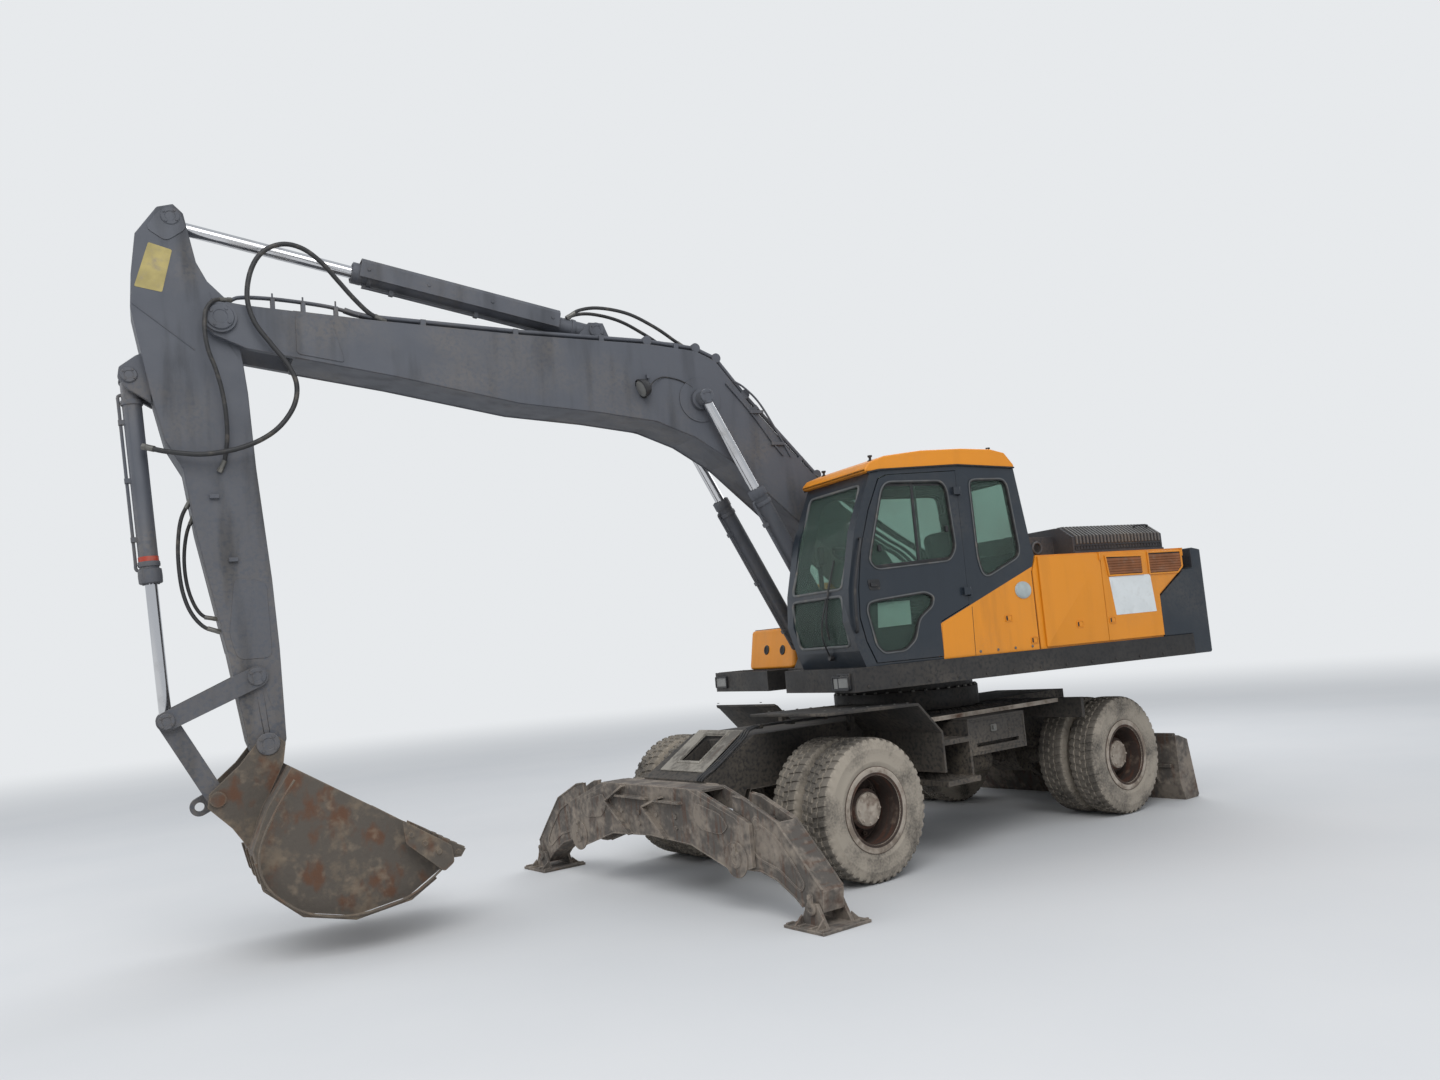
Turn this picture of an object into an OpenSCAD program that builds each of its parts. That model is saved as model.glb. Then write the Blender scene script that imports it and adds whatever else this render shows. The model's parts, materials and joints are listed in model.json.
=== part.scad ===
// Wheeled excavator with twin tyres, front outriggers and a rear dozer blade.
// X points ahead along the chassis, Y to the cab side, Z up. Z = 0 is the ground.
// The origin is the middle of the whole machine, under which it stands.

/* [Stance] */
// Turn of the upper structure on its slew ring
slew_angle = -10; // [-180:1:180]
// Distance from the slew axis to the middle of the whole length
origin_x = 1690; // [1500:5:1900]

/* [Wheels] */
// Radius of the tyres
tyre_r = 512; // [480:1:540]
// Width of one tyre
tyre_w = 265; // [240:1:280]
// Distance between the middles of twin tyres
twin_pitch = 320; // [305:1:340]
// Width over the outer tyres
wheels_w = 2500; // [2480:5:2560]
// Front axle ahead of the slew axis
front_axle_x = 1700; // [1650:5:1760]
// Rear axle behind the slew axis
rear_axle_x = -1400; // [-1480:5:-1350]

/* [Chassis] */
// Width of the chassis frame
frame_w = 800; // [700:5:820]
// Height of the top of the chassis frame
frame_top = 1080; // [1040:5:1100]
// Middle of the outrigger beam ahead of the slew axis
beam_x = 2705; // [2690:5:2760]
// Width over the ends of the outrigger beam
beam_w = 2400; // [2300:10:2440]
// Width of the dozer blade
blade_w = 2540; // [2500:10:2600]

/* [Upper structure] */
// Width of the deck
deck_w = 2674; // [2600:2:2700]
// Height of the underside of the deck
deck_z = 1340; // [1330:5:1380]
// Height of the top of the deck
deck_top = 1517; // [1500:1:1540]
// Height of the top of the side housings
housing_top = 2285; // [2200:5:2320]
// Height of the cab roof
cab_top = 3175; // [3100:5:3250]
// Width of the cab
cab_w = 900; // [860:5:905]

/* [Working arm] */
// Width of the boom
boom_w = 460; // [440:5:470]
// Width of the arm
arm_w = 340; // [300:5:344]
// Width of the bucket
bucket_w = 1000; // [800:10:1200]
// Distance from the arm pin of the bucket to its tooth tips
bucket_reach = 1450; // [1300:10:1500]

/* [Hidden] */
$fn = 64;

// Running gaps: beside a moving plate, and around a pin
side_gap = 6;
pin_gap = 0.1;
// Gap of a piece that lies on another
seat_gap = 0.3;
eps = 1;

// Wheels
axle_z = tyre_r;
outer_y = wheels_w / 2 - tyre_w / 2;
inner_y = outer_y - twin_pitch;
rim_r = 257;
flange_r = 305;
kingpin_y = 620;
hub_r = 172;
hub_cap_r = 145;
disc_y = 985;

// Outrigger beam and legs, seen from ahead: columns are y and z
beam_t = 30;
beam_gap = 190;
beam_end = beam_w / 2;
leg_w = beam_gap - 2 * 10;
leg_pivot = [beam_end - 160, 350];
leg_horn = [beam_end + 30, 595];
leg_base = [100, 700];
pad_pivot = [beam_end + 545, 118];
pad_l = 400;
pad_w = 370;
leg_pin_r = 34;
leg_wall = 25;
rod_overlap = 65;
leg_barrel_l = 610;
leg_rod_l = norm(leg_horn - leg_base) - leg_barrel_l + rod_overlap;
rib_t = 14;
rib_w = 40;

// Blade
blade_hinge = [-1790, 430];
blade_eye = [-2100, 400];
blade_base = [-1810, 960];
blade_x = -2150;
blade_barrel_l = 400;
blade_rod_l = 390;

// Upper structure
ring_r = 600;
ring_drop = 95;
deck_half = deck_w / 2;
deck_rear = -2200;
panel_t = 12;
panel_gap = 5;
hinge_r = 8;
hinge_pin_r = 5;
hinge_out = 6;
front_door_x = -1180;
rear_door_x = -2180;
cab_y1 = deck_half - 17;
cab_y0 = cab_y1 - cab_w;
wall = 60;
door_x0 = 262;
cab_hinge = [door_x0 - 5, cab_y1 + 30];
cab_hinge_z = [2000, 2800];

// Working arm pins: columns are x and z
boom_foot = [50, 1950];
boom_eye = [1930, 3790];
boom_base = [800, 1620];
arm_pin = [5520, 4270];
arm_eye = [5800, 4980];
arm_base = [2750, 4370];
bucket_base = [6082, 3887];
rocker_pin = [5390, 1830];
tip_pin = [5340, 1380];
rod_eye = [5938, 1590];
link_pin = [5657, 1060];
// Lifting eye on the bucket link
lift_eye = [5760, 1010];
lift_eye_r = 30;
lift_eye_t = 50;
boom_cyl_y = 322;
boom_eye_w = 96;
arm_slot_w = 124;
link_y0 = 60;
main_pin_r = 50;
cyl_pin_r = 40;
boom_barrel_l = 1590;
boom_rod_l = 1560;
arm_ear_y = 80;
arm_ear_t = 40;
arm_barrel_l = 1890;
arm_rod_l = 1800;
bucket_barrel_l = 1390;
bucket_rod_l = 1400;
collar_r = 105;
collar_t = 24;
rocker_t = 26;
rocker_pin_r = 36;
blade_cyl_y = 130;
blade_ear_gap = 88;

// Basic shapes
module plate_xz(points, y0, y1) {
  translate([0, y1, 0]) rotate([90, 0, 0]) linear_extrude(y1 - y0) polygon(points);
}
module plate_yz(points, x0, x1) {
  translate([x0, 0, 0]) rotate([90, 0, 90]) linear_extrude(x1 - x0) polygon(points);
}
module box(x0, x1, y0, y1, z0, z1) {
  translate([x0, y0, z0]) cube([x1 - x0, y1 - y0, z1 - z0]);
}
// Round bar along Y at a pin given as x and z
module pin_y(at, r, y0, y1) {
  translate([at[0], y0, at[1]]) rotate([-90, 0, 0]) cylinder(r = r, h = y1 - y0);
}
// Round bar along X at a pin given as y and z
module pin_x(at, r, x0, x1) {
  translate([x0, at[0], at[1]]) rotate([0, 90, 0]) cylinder(r = r, h = x1 - x0);
}
module both_sides() {
  children();
  mirror([0, 1, 0]) children();
}

// Cylinder barrel along +X from its eye at the origin; the eye's bore runs along Y
module barrel(r, length, eye_r, eye_w, pin_r, rod_r) {
  difference() {
    union() {
      rotate([-90, 0, 0]) translate([0, 0, -eye_w / 2]) cylinder(r = eye_r, h = eye_w);
      translate([eye_r * 0.6, 0, 0]) rotate([0, 90, 0]) cylinder(r = r, h = length - eye_r * 0.6);
      translate([length - 70, 0, 0]) rotate([0, 90, 0]) cylinder(r = r + 7, h = 70);
    }
    rotate([-90, 0, 0]) translate([0, 0, -eye_w]) cylinder(r = pin_r + pin_gap, h = 2 * eye_w);
    translate([eye_r + 30, 0, 0]) rotate([0, 90, 0]) cylinder(r = rod_r + pin_gap, h = length);
  }
}
// Rod along -X from its eye at the origin
module rod(r, length, eye_r, eye_w) {
  rotate([-90, 0, 0]) translate([0, 0, -eye_w / 2]) cylinder(r = eye_r, h = eye_w);
  translate([-length, 0, 0]) rotate([0, 90, 0]) cylinder(r = r, h = length);
}
// Place a bar's frame at one pin, its X axis towards another, both as x and z
module from_to_xz(from, to, y) {
  translate([from[0], y, from[1]]) rotate([0, -atan2(to[1] - from[1], to[0] - from[0]), 0]) children();
}
// The same in the y and z plane at a given x
module from_to_yz(from, to, x) {
  translate([x, from[0], from[1]]) rotate([atan2(to[1] - from[1], to[0] - from[0]), 0, 0])
    rotate([0, 0, 90]) children();
}
module on_slew() {
  rotate([0, 0, slew_angle]) children();
}
module at_origin() {
  translate([-origin_x, 0, 0]) children();
}
module at_origin_slewed() {
  at_origin() on_slew() children();
}

// Chassis
frame_profile = [
  [-1750, 690], [-1750, frame_top], [2080, frame_top], [2560, 810], [beam_x - beam_gap / 2 - beam_t, 800],
  [beam_x - beam_gap / 2 - beam_t, 430], [2330, 430], [2200, 690], [1250, 690], [1150, 640],
  [-900, 640], [-1000, 690]
];
module chassis_frame() {
  color("dimgray") {
    difference() {
      plate_xz(frame_profile, -frame_w / 2, frame_w / 2);
      box(2150, 2420, -130, 130, 780, 1200);
    }
    both_sides() tie_down();
    blade_mount();
  }
}
// Lashing eye under the front of the frame
tie_down_at = [2420, 385];
tie_down_r = 32.5;
tie_down_t = 40;
module tie_down() {
  difference() {
    plate_xz([[2330, 431], [2350, 350], [2390, 325], [2450, 325], [2490, 350], [2510, 431]],
      frame_w / 2 - tie_down_t, frame_w / 2);
    pin_y(tie_down_at, tie_down_r, frame_w / 2 - tie_down_t - eps, frame_w / 2 + eps);
  }
}
mount_plate = [[-1750, 1040], [-1700, 700], [-1690, 390], [-1730, 365], [-1850, 365], [-1850, 480],
  [-1760, 660], [-1760, 880], [-1870, 910], [-1870, 1010], [-1800, 1040]];
module blade_mount() {
  both_sides() {
    plate_xz(mount_plate, 60, 90);
    plate_xz(mount_plate, 170, 200);
  }
  pin_y(blade_hinge, 35, -330, 330);
  pin_y(blade_base, 32, -200, 200);
}
module slew_ring() {
  color("dimgray") translate([0, 0, frame_top])
    cylinder(r = ring_r + 40, h = deck_z - ring_drop - seat_gap - frame_top);
}

// Half of the beam's front plate: columns are y and z
beam_half = [[0, 785], [beam_end - 560, 785], [beam_end - 50, 615], [beam_end, 590], [beam_end, 310],
  [beam_end - 130, 270], [beam_end - 220, 272], [beam_end - 680, 405], [0, 430]];
module beam_plate(x0, x1) {
  both_sides() plate_yz(beam_half, x0, x1);
}
// Stiffening ribs on the beam's front face, each from one y and z to the next
beam_ribs = [[[-290, 778], [-560, 652]], [[-560, 652], [-236, 420]], [[-400, 700], [20, 697]],
  [[217, 717], [-34, 637]], [[-34, 637], [237, 430]], [[130, 690], [453, 687]]];
module bar_yz(a, b, t, x0, x1) {
  n = t / 2 / norm(b - a) * [a[1] - b[1], b[0] - a[0]];
  plate_yz([a + n, b + n, b - n, a - n], x0, x1);
}
module front_beam() {
  x0 = beam_x - beam_gap / 2;
  x1 = beam_x + beam_gap / 2;
  color("saddlebrown") {
    beam_plate(x0 - beam_t, x0);
    beam_plate(x1, x1 + beam_t);
    box(x0, x1, 540 - beam_end, beam_end - 540, 765, 785);
    box(x0, x1, -25, 25, 430, 785);
    for (r = beam_ribs) bar_yz(r[0], r[1], rib_t, x1 + beam_t - eps, x1 + beam_t + rib_w);
    both_sides() {
      pin_x(leg_pivot, leg_pin_r, x0 - beam_t - 15, x1 + beam_t + 15);
      pin_x(leg_base, 26, x0, x1);
    }
  }
}

// Outrigger leg as seen from ahead: columns are y past the beam's end, and z
leg_outline = [[-235, 325], [-235, 420], [-200, 760], [-90, 745], [240, 615], [460, 400], [630, 225],
  [615, 100], [490, 60], [440, 110], [370, 160], [200, 250], [40, 290], [-100, 285], [-200, 290]];
leg_cavity = [[-300, 450], [50, 460], [240, 540], [240, 900], [-300, 900]];
module leg() {
  x0 = beam_x - leg_w / 2;
  x1 = beam_x + leg_w / 2;
  color("saddlebrown") difference() {
    translate([0, beam_end, 0]) plate_yz(leg_outline, x0, x1);
    translate([0, beam_end, 0]) plate_yz(leg_cavity, x0 + leg_wall, x1 - leg_wall);
    pin_x(leg_pivot, leg_pin_r + pin_gap, x0 - eps, x1 + eps);
    pin_x(pad_pivot, 25 + pin_gap, x0 - eps, x1 + eps);
    pin_x(leg_horn, 20, x0 - eps, x0 + 20);
    pin_x(leg_horn, 20, x1 - 20, x1 + eps);
  }
}
pad_lug = [[pad_pivot[0] - 120, 20], [pad_pivot[0] - 45, pad_pivot[1] + 35],
  [pad_pivot[0] + 45, pad_pivot[1] + 35], [pad_pivot[0] + 120, 20]];
module pad() {
  lug_x = beam_x - leg_w / 2 - side_gap - 24;
  color("saddlebrown") {
    box(beam_x - pad_l / 2, beam_x + pad_l / 2, pad_pivot[0] - pad_w / 2, pad_pivot[0] + pad_w / 2, 0, 20);
    plate_yz(pad_lug, lug_x, lug_x + 24);
    plate_yz(pad_lug, 2 * beam_x - lug_x - 24, 2 * beam_x - lug_x);
    pin_x(pad_pivot, 25, lug_x, 2 * beam_x - lug_x);
  }
}
module leg_barrel() {
  color("dimgray") from_to_yz(leg_base, leg_horn, beam_x) barrel(48, leg_barrel_l, 44, 96, 26, 27);
}
module leg_rod() {
  color("silver") from_to_yz(leg_horn, leg_base, beam_x) mirror([1, 0, 0])
    rod(27, leg_rod_l, 40, leg_w - 2 * leg_wall - 2 * seat_gap);
}

// Dozer blade, with its arms and end plates
blade_profile = [[blade_x, 587], [blade_x - 60, 587], [blade_x - 190, 540], [blade_x - 280, 20],
  [blade_x - 260, 0], [blade_x - 60, 0], [blade_x, 150]];
module blade_ear(y) {
  plate_xz([[blade_x, 320], [blade_x, 490], [blade_eye[0] + 50, 440], [blade_eye[0] + 50, 360]], y, y + 26);
}
module blade() {
  color("saddlebrown") {
    difference() {
      plate_xz(blade_profile, -blade_w / 2, blade_w / 2);
      pin_y([blade_x - 330, 330], 270, -blade_w / 2 + 20, blade_w / 2 - 20);
    }
    both_sides() difference() {
      union() {
        plate_xz([[blade_x, 150], [blade_x, 520], [blade_hinge[0] - 40, 490], [blade_hinge[0] + 50, 460],
          [blade_hinge[0] + 50, 390], [blade_hinge[0] - 30, 370]], 230, 290);
        blade_ear(blade_cyl_y - blade_ear_gap / 2 - 26);
        blade_ear(blade_cyl_y + blade_ear_gap / 2);
      }
      pin_y(blade_hinge, 35 + pin_gap, 200, 320);
    }
  }
}
module blade_barrels() {
  color("dimgray") both_sides() from_to_xz(blade_base, blade_eye, blade_cyl_y)
    barrel(34, blade_barrel_l, 42, 60, 32, 22);
}
module blade_rods() {
  color("silver") both_sides() from_to_xz(blade_eye, blade_base, blade_cyl_y) mirror([1, 0, 0])
    rod(22, blade_rod_l, 34, blade_ear_gap - 2 * seat_gap);
}

// Axles, knuckles and wheels
module axle_tube(y1) {
  both_sides() rotate([-90, 0, 0]) cylinder(r = 95, h = y1);
  rotate([-90, 0, 0]) translate([0, 0, -170]) cylinder(r = 175, h = 340);
}
module front_axle() {
  color("dimgray") translate([front_axle_x, 0, axle_z]) {
    axle_tube(540);
    box(-150, 150, -165, 165, 60, 178);
    both_sides() difference() {
      union() {
        box(-75, 75, 520, kingpin_y, 95, 135);
        box(-75, 75, 520, kingpin_y, -135, -95);
        box(-75, 75, 500, 545, -135, 135);
        translate([0, kingpin_y, 95]) cylinder(r = 75, h = 40);
        translate([0, kingpin_y, -135]) cylinder(r = 75, h = 40);
      }
      translate([0, kingpin_y, -200]) cylinder(r = 30 + pin_gap, h = 400);
    }
  }
}
module rear_axle() {
  color("dimgray") translate([rear_axle_x, 0, axle_z]) {
    axle_tube(650);
    both_sides() {
      rotate([-90, 0, 0]) translate([0, 0, 640]) cylinder(r = hub_r, h = disc_y - seat_gap - 640);
      box(-110, 110, 250, 370, 60, 178);
    }
  }
}
module knuckle_left() {
  color("dimgray") translate([front_axle_x, 0, axle_z]) {
    translate([0, kingpin_y, -150]) cylinder(r = 30, h = 300);
    translate([0, kingpin_y, -88]) cylinder(r = 62, h = 176);
    rotate([-90, 0, 0]) translate([0, 0, kingpin_y + 30]) cylinder(r = 80, h = 60);
    rotate([-90, 0, 0]) translate([0, 0, kingpin_y + 80])
      cylinder(r = hub_r, h = disc_y - seat_gap - kingpin_y - 80);
  }
}
// Tyre section: columns are radius and distance from the tyre's middle, as shares of its width
bead_share = 0.42;
tyre_half = [[rim_r + seat_gap, 0.36], [flange_r, bead_share], [335, 0.47], [390, 0.5], [450, 0.485],
  [490, 0.44], [508, 0.36], [tyre_r, 0.25]];
module tyre(y) {
  ring = concat(
    [for (p = tyre_half) [p[0], p[1] * tyre_w]],
    [for (i = [len(tyre_half) - 1 : -1 : 0]) [tyre_half[i][0], -tyre_half[i][1] * tyre_w]]);
  translate([0, y, 0]) rotate([-90, 0, 0]) rotate_extrude($fn = 96) polygon(ring);
}
module tyres() {
  color("dimgray") {
    tyre(inner_y);
    tyre(outer_y);
  }
}
module rims() {
  edge = bead_share * tyre_w + seat_gap;
  y0 = inner_y - edge - 12;
  y1 = outer_y + edge + 12;
  drum = [[243, y0], [flange_r, y0], [flange_r, y0 + 12], [rim_r, y0 + 12], [rim_r, inner_y + edge],
    [flange_r - 15, inner_y + edge], [flange_r - 15, inner_y + edge + 12], [rim_r, inner_y + edge + 12],
    [rim_r, outer_y - edge - 12], [flange_r - 15, outer_y - edge - 12], [flange_r - 15, outer_y - edge],
    [rim_r, outer_y - edge], [rim_r, y1 - 12], [flange_r, y1 - 12], [flange_r, y1], [243, y1],
    [243, disc_y + 25], [hub_cap_r, disc_y + 25], [hub_cap_r, y1 - 110], [hub_cap_r - 20, y1 - 95],
    [0, y1 - 95], [0, disc_y], [243, disc_y]];
  color("tan") rotate([-90, 0, 0]) rotate_extrude($fn = 96) polygon(drum);
}
module at_wheel(x, left) {
  translate([x, 0, axle_z]) {
    if (left) children();
    else mirror([0, 1, 0]) children();
  }
}

// Steps, fenders and tool boxes between the wheels; the right fender is the short one
left_fender_x = 2110;
right_fender_x = 1200;
module step_box(fender_x) {
  color("dimgray") {
    difference() {
      box(-150, 550, frame_w / 2, 1160, 740, 1030);
      box(-60, 460, 1100, 1200, 800, 830);
    }
    box(550, 925, frame_w / 2, 1240, 560, 600);
    box(550, 925, frame_w / 2, 1180, 860, 900);
    box(550, 575, frame_w / 2, 1180, 560, 1010);
    box(-830, 925, frame_w / 2, 1000, 1030, 1070);
    plate_xz([[925, 670], [945, 670], [945, 972], [1168, 1195], [fender_x, 1215], [fender_x, 1235],
      [1160, 1215], [925, 980]], frame_w / 2, 1240);
    box(1080, 1130, frame_w / 2, frame_w / 2 + 50, 1000, 1150);
    box(-870, -830, frame_w / 2, 1240, 900, 1070);
  }
}

// Upper structure
module upper_frame() {
  color("dimgray") {
    box(deck_rear, 1000, -330, 330, deck_z, deck_top);
    box(deck_rear, 1215, -deck_half, -330, deck_z, deck_top);
    box(deck_rear, 1420, 330, deck_half, deck_z, deck_top);
    translate([0, 0, deck_z - ring_drop]) cylinder(r = ring_r, h = ring_drop + 5);
    box(-870, -850, -700, 700, deck_top, housing_top);
    both_sides() {
      plate_xz([[-420, deck_top], [-250, 2060], [-100, 2120], [150, 2120], [260, 2000], [620, deck_top]],
        boom_w / 2 + side_gap, boom_w / 2 + side_gap + 40);
    }
    plate_xz([[620, deck_top], [700, 1660], [760, 1690], [850, 1690], [900, 1660], [980, deck_top]],
      -255, 255);
    pin_y(boom_foot, main_pin_r, -boom_w / 2 - 60, boom_w / 2 + 60);
    pin_y(boom_base, cyl_pin_r, -390, 390);
  }
}

// Hinge on a vertical axis at a given x and y: the leaf's knuckle, and the pin that it turns on
module hinge_knuckle(x, y, z0, z1) {
  difference() {
    translate([x, y, z0]) cylinder(r = hinge_r, h = z1 - z0);
    translate([x, y, z0 - eps]) cylinder(r = hinge_pin_r + pin_gap, h = z1 - z0 + 2 * eps);
  }
}
module hinge_pin(x, y, z0, z1, inner_y, tab_z) {
  translate([x, y, z0]) cylinder(r = hinge_pin_r, h = z1 - z0);
  box(x - hinge_r, x + hinge_r, inner_y, y + hinge_r, tab_z, tab_z + 10);
}

// Counterweight: plan columns are x and y, side columns are x and z
weight_x = -1850;
weight_half = deck_half - 5;
weight_plan = [[weight_x, -weight_half], [-2420, -weight_half], [-2530, 92 - weight_half], [-2640, -800],
  [-2690, -300], [-2690, 300], [-2640, 800], [-2530, weight_half - 92], [-2420, weight_half],
  [weight_x, weight_half]];
weight_side = [[weight_x, deck_z], [weight_x, 1865], [-2177, 2088], [-2305, 2100], [-2305, housing_top],
  [-2440, 2260], [-2640, 1900], [-2700, 1560], [-2620, deck_z]];
module counterweight() {
  color("darkslategray") difference() {
    intersection() {
      translate([0, 0, deck_z]) linear_extrude(1000) polygon(weight_plan);
      plate_xz(weight_side, -1400, 1400);
    }
    box(deck_rear - seat_gap, -1800, -1400, 1400, deck_z - eps, deck_top);
    box(-2305, -1800, -1200, 1200, deck_z - eps, 2300);
  }
}
door_z0 = deck_top + 15;
door_z1 = housing_top - 12;
hinge_h = 60;
module left_housing() {
  y0 = 700;
  y1 = deck_half - panel_t - panel_gap;
  color("orange") {
    left_housing_body(y0, y1);
    for (x = [front_door_x + hinge_r, rear_door_x + hinge_r])
      hinge_pin(x, deck_half + hinge_out, door_z1 - hinge_h, door_z1 + seat_gap + eps, y1,
        door_z1 + seat_gap);
    hood_hinge_pin();
  }
}
module left_housing_body(y0, y1) {
  difference() {
    plate_xz([[-430, deck_top], [-430, 2160], [-480, housing_top], [-2190, housing_top], [-2190, 2110],
      [-1846, 1875], [-1846, deck_top]], y0, y1);
    box(-1100, -500, y0 + 40, y1 + eps, deck_top + 30, housing_top - 30);
    box(-1790, -1160, y0 + 40, y1 + eps, deck_top + 30, housing_top - 30);
  }
}
module door_hinge(x) {
  hinge_knuckle(x + hinge_r, deck_half + hinge_out, door_z1 - hinge_h, door_z1);
}
module service_door_front() {
  color("orange") {
    box(front_door_x, -488, deck_half - panel_t, deck_half, door_z0, door_z1);
    door_hinge(front_door_x);
  }
}
module service_door_rear() {
  x1 = front_door_x - side_gap;
  color("orange") {
    plate_xz([[x1, door_z0], [x1, door_z1], [rear_door_x, door_z1], [rear_door_x, 2122],
      [weight_x + side_gap, 1895], [weight_x + side_gap, door_z0]], deck_half - panel_t, deck_half);
    door_hinge(rear_door_x);
  }
}
module right_housing() {
  color("orange") {
    difference() {
      plate_xz([[300, deck_top], [300, 2160], [250, housing_top], [-2190, housing_top], [-2190, 2110],
        [-1846, 1875], [-1846, deck_top]], -deck_half + 10, -700);
      box(-1790, -900, -deck_half + 60, -660, deck_top + 40, housing_top - 40);
    }
    mirror([0, 1, 0]) hood_hinge_pin();
  }
}
module front_box() {
  color("orange")
    plate_xz([[310, deck_top], [310, 1900], [840, 1885], [900, deck_top]], 87 - deck_half, -420);
}
// Hood with sloping sides, a narrower cover ahead of it, and its hinge: columns are y and z
hood_z0 = housing_top + seat_gap;
hood_wall = 40;
hood_half = [[0, hood_z0], [1000, hood_z0], [1000, 2455], [860, 2550], [0, 2550]];
hood_room = [[0, hood_z0 - 10], [1000 - hood_wall, hood_z0 - 10], [1000 - hood_wall, 2430],
  [850 - hood_wall, 2550 - hood_wall], [0, 2550 - hood_wall]];
cover_x = -830;
cover_half = 760;
cover_top = 2490;
hood_hinge = [cover_x + 18, hood_z0 + 13];
hood_hinge_y = [690, 742];
module hood_half_solid() {
  difference() {
    union() {
      plate_yz(hood_half, -2340, -1230);
      box(-1240, cover_x, 0, cover_half, hood_z0, cover_top);
      pin_y(hood_hinge, 13, hood_hinge_y[0], hood_hinge_y[1]);
      box(cover_x - eps, hood_hinge[0], hood_hinge_y[0], hood_hinge_y[1], hood_z0 + 4, hood_z0 + 22);
    }
    plate_yz(hood_room, -2340 + hood_wall, -1230 - hood_wall);
    box(-1300, cover_x - hood_wall, -eps, cover_half - hood_wall, hood_z0 - 10, cover_top - hood_wall);
    pin_y(hood_hinge, hood_pin_r + pin_gap, hood_hinge_y[0] - eps, hood_hinge_y[1] + eps);
  }
}
module engine_hood() {
  color("dimgray") both_sides() hood_half_solid();
}
// Pin of the hood's hinge, and the tab that holds it on the housing
hood_pin_r = 8;
module hood_hinge_pin() {
  y1 = hood_hinge_y[1] + side_gap;
  pin_y(hood_hinge, hood_pin_r, hood_hinge_y[0], y1 + eps);
  box(hood_hinge[0] - 9, hood_hinge[0] + 9, y1, y1 + 12, housing_top - eps, hood_hinge[1] + 9);
}
module engine_block() {
  color("dimgray") box(-1900, -900, -450, 450, deck_top, 2200);
}

// Cab, side view: columns are x and z
roof_under = [[-345, 3012], [246, 3036], [1010, 3000], [1090, 2985]];
cab_outline = concat([[-420, deck_top], [-420, 2165], [-466, housing_top], [-438, 2400]], roof_under,
  [[1280, 2550], [1385, 2110], [1405, 1860], [1340, 1640], [1290, deck_top]]);
cab_inside = [[-360, deck_top + 60], [-360, 2165], [-404, 2290], [-376, 2400], [-290, 2965], [246, 2992],
  [960, 2965], [1030, 2935], [1218, 2530], [1325, 2100], [1343, 1860], [1280, 1655], [1232, deck_top + 60]];
door_outline = [[562, 1535], [549, 1806], [door_x0, 1922], [door_x0, 2998], [940, 2968], [1020, 2940],
  [1140, 2700], [1245, 2393], [1298, 2093], [1310, 1880], [1270, 1703], [1195, 1535]];
door_window_top = [[335, 2374], [367, 2855], [422, 2920], [944, 2916], [1007, 2862], [1185, 2306],
  [1121, 2235], [409, 2274]];
door_window_low = [[601, 2009], [683, 2052], [1129, 2015], [1222, 1998], [1247, 1940], [1190, 1666],
  [1125, 1601], [920, 1607], [816, 1683], [758, 1840], [621, 1932]];
rear_side_window = [[142, 2902], [97, 2929], [-216, 2932], [-262, 2881], [-321, 2334], [-290, 2270],
  [44, 2130], [102, 2157], [135, 2287]];
right_window = [[-320, 2140], [-262, 2881], [-216, 2932], [880, 2920], [1000, 2850], [1180, 2330],
  [1240, 2140]];
module cab() {
  color("darkslategray") {
    cab_shell();
    for (z = cab_hinge_z)
      hinge_pin(cab_hinge[0], cab_hinge[1], z - 10 - seat_gap, z + hinge_h, cab_y1 - 5, z - 10 - seat_gap);
  }
}
module cab_shell() {
  difference() {
    plate_xz(cab_outline, cab_y0, cab_y1);
    plate_xz(cab_inside, cab_y0 + wall, cab_y1 - wall);
    plate_xz(door_outline, cab_y1 - wall - eps, cab_y1 + eps);
    plate_xz(rear_side_window, cab_y1 - wall - eps, cab_y1 + eps);
    plate_xz(right_window, cab_y0 - eps, cab_y0 + wall + eps);
    // windscreen above and below, rear window
    box(1000, 1500, cab_y0 + 90, cab_y1 - 90, 2110, 2900);
    box(1200, 1500, cab_y0 + 90, cab_y1 - 90, 1680, 2060);
    box(-500, -250, cab_y0 + 110, cab_y1 - 110, 2330, 2920);
  }
}
roof_over = 14;
module cab_roof() {
  color("orange") plate_xz(concat([for (p = roof_under) [p[0], p[1] + seat_gap]],
    [[1140, 2990], [1137, 3018], [1094, 3062], [938, 3115], [587, cab_top - 17], [185, cab_top],
    [-125, cab_top - 5], [-248, cab_top - 30], [-350, 3032]]), cab_y0 - roof_over, cab_y1 + roof_over);
}
// Door leaf: the opening's corners moved inwards by the gap
door_leaf = [for (p = door_outline) [p[0] + (p[0] < 600 ? side_gap : -side_gap),
  p[1] + (p[1] < 2500 ? side_gap : -side_gap)]];
module cab_door() {
  color("darkslategray") {
    difference() {
      plate_xz(door_leaf, cab_y1 - wall + 5, cab_y1 + 5);
      plate_xz(door_window_top, cab_y1 - 100, cab_y1 + 20);
      plate_xz(door_window_low, cab_y1 - 100, cab_y1 + 20);
    }
    for (z = cab_hinge_z) {
      hinge_knuckle(cab_hinge[0], cab_hinge[1], z, z + hinge_h);
      box(cab_hinge[0] + hinge_pin_r + 2, door_x0 + 60, cab_y1 + 5, cab_hinge[1] + 4, z, z + hinge_h);
    }
  }
}
module seat() {
  color("black") {
    box(80, 560, 640, 1120, 1950, 2090);
    plate_xz([[80, 2090], [200, 2090], [40, 2750], [-80, 2740]], 640, 1120);
    box(150, 500, 720, 1040, deck_top + 60, 1950);
  }
}
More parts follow.
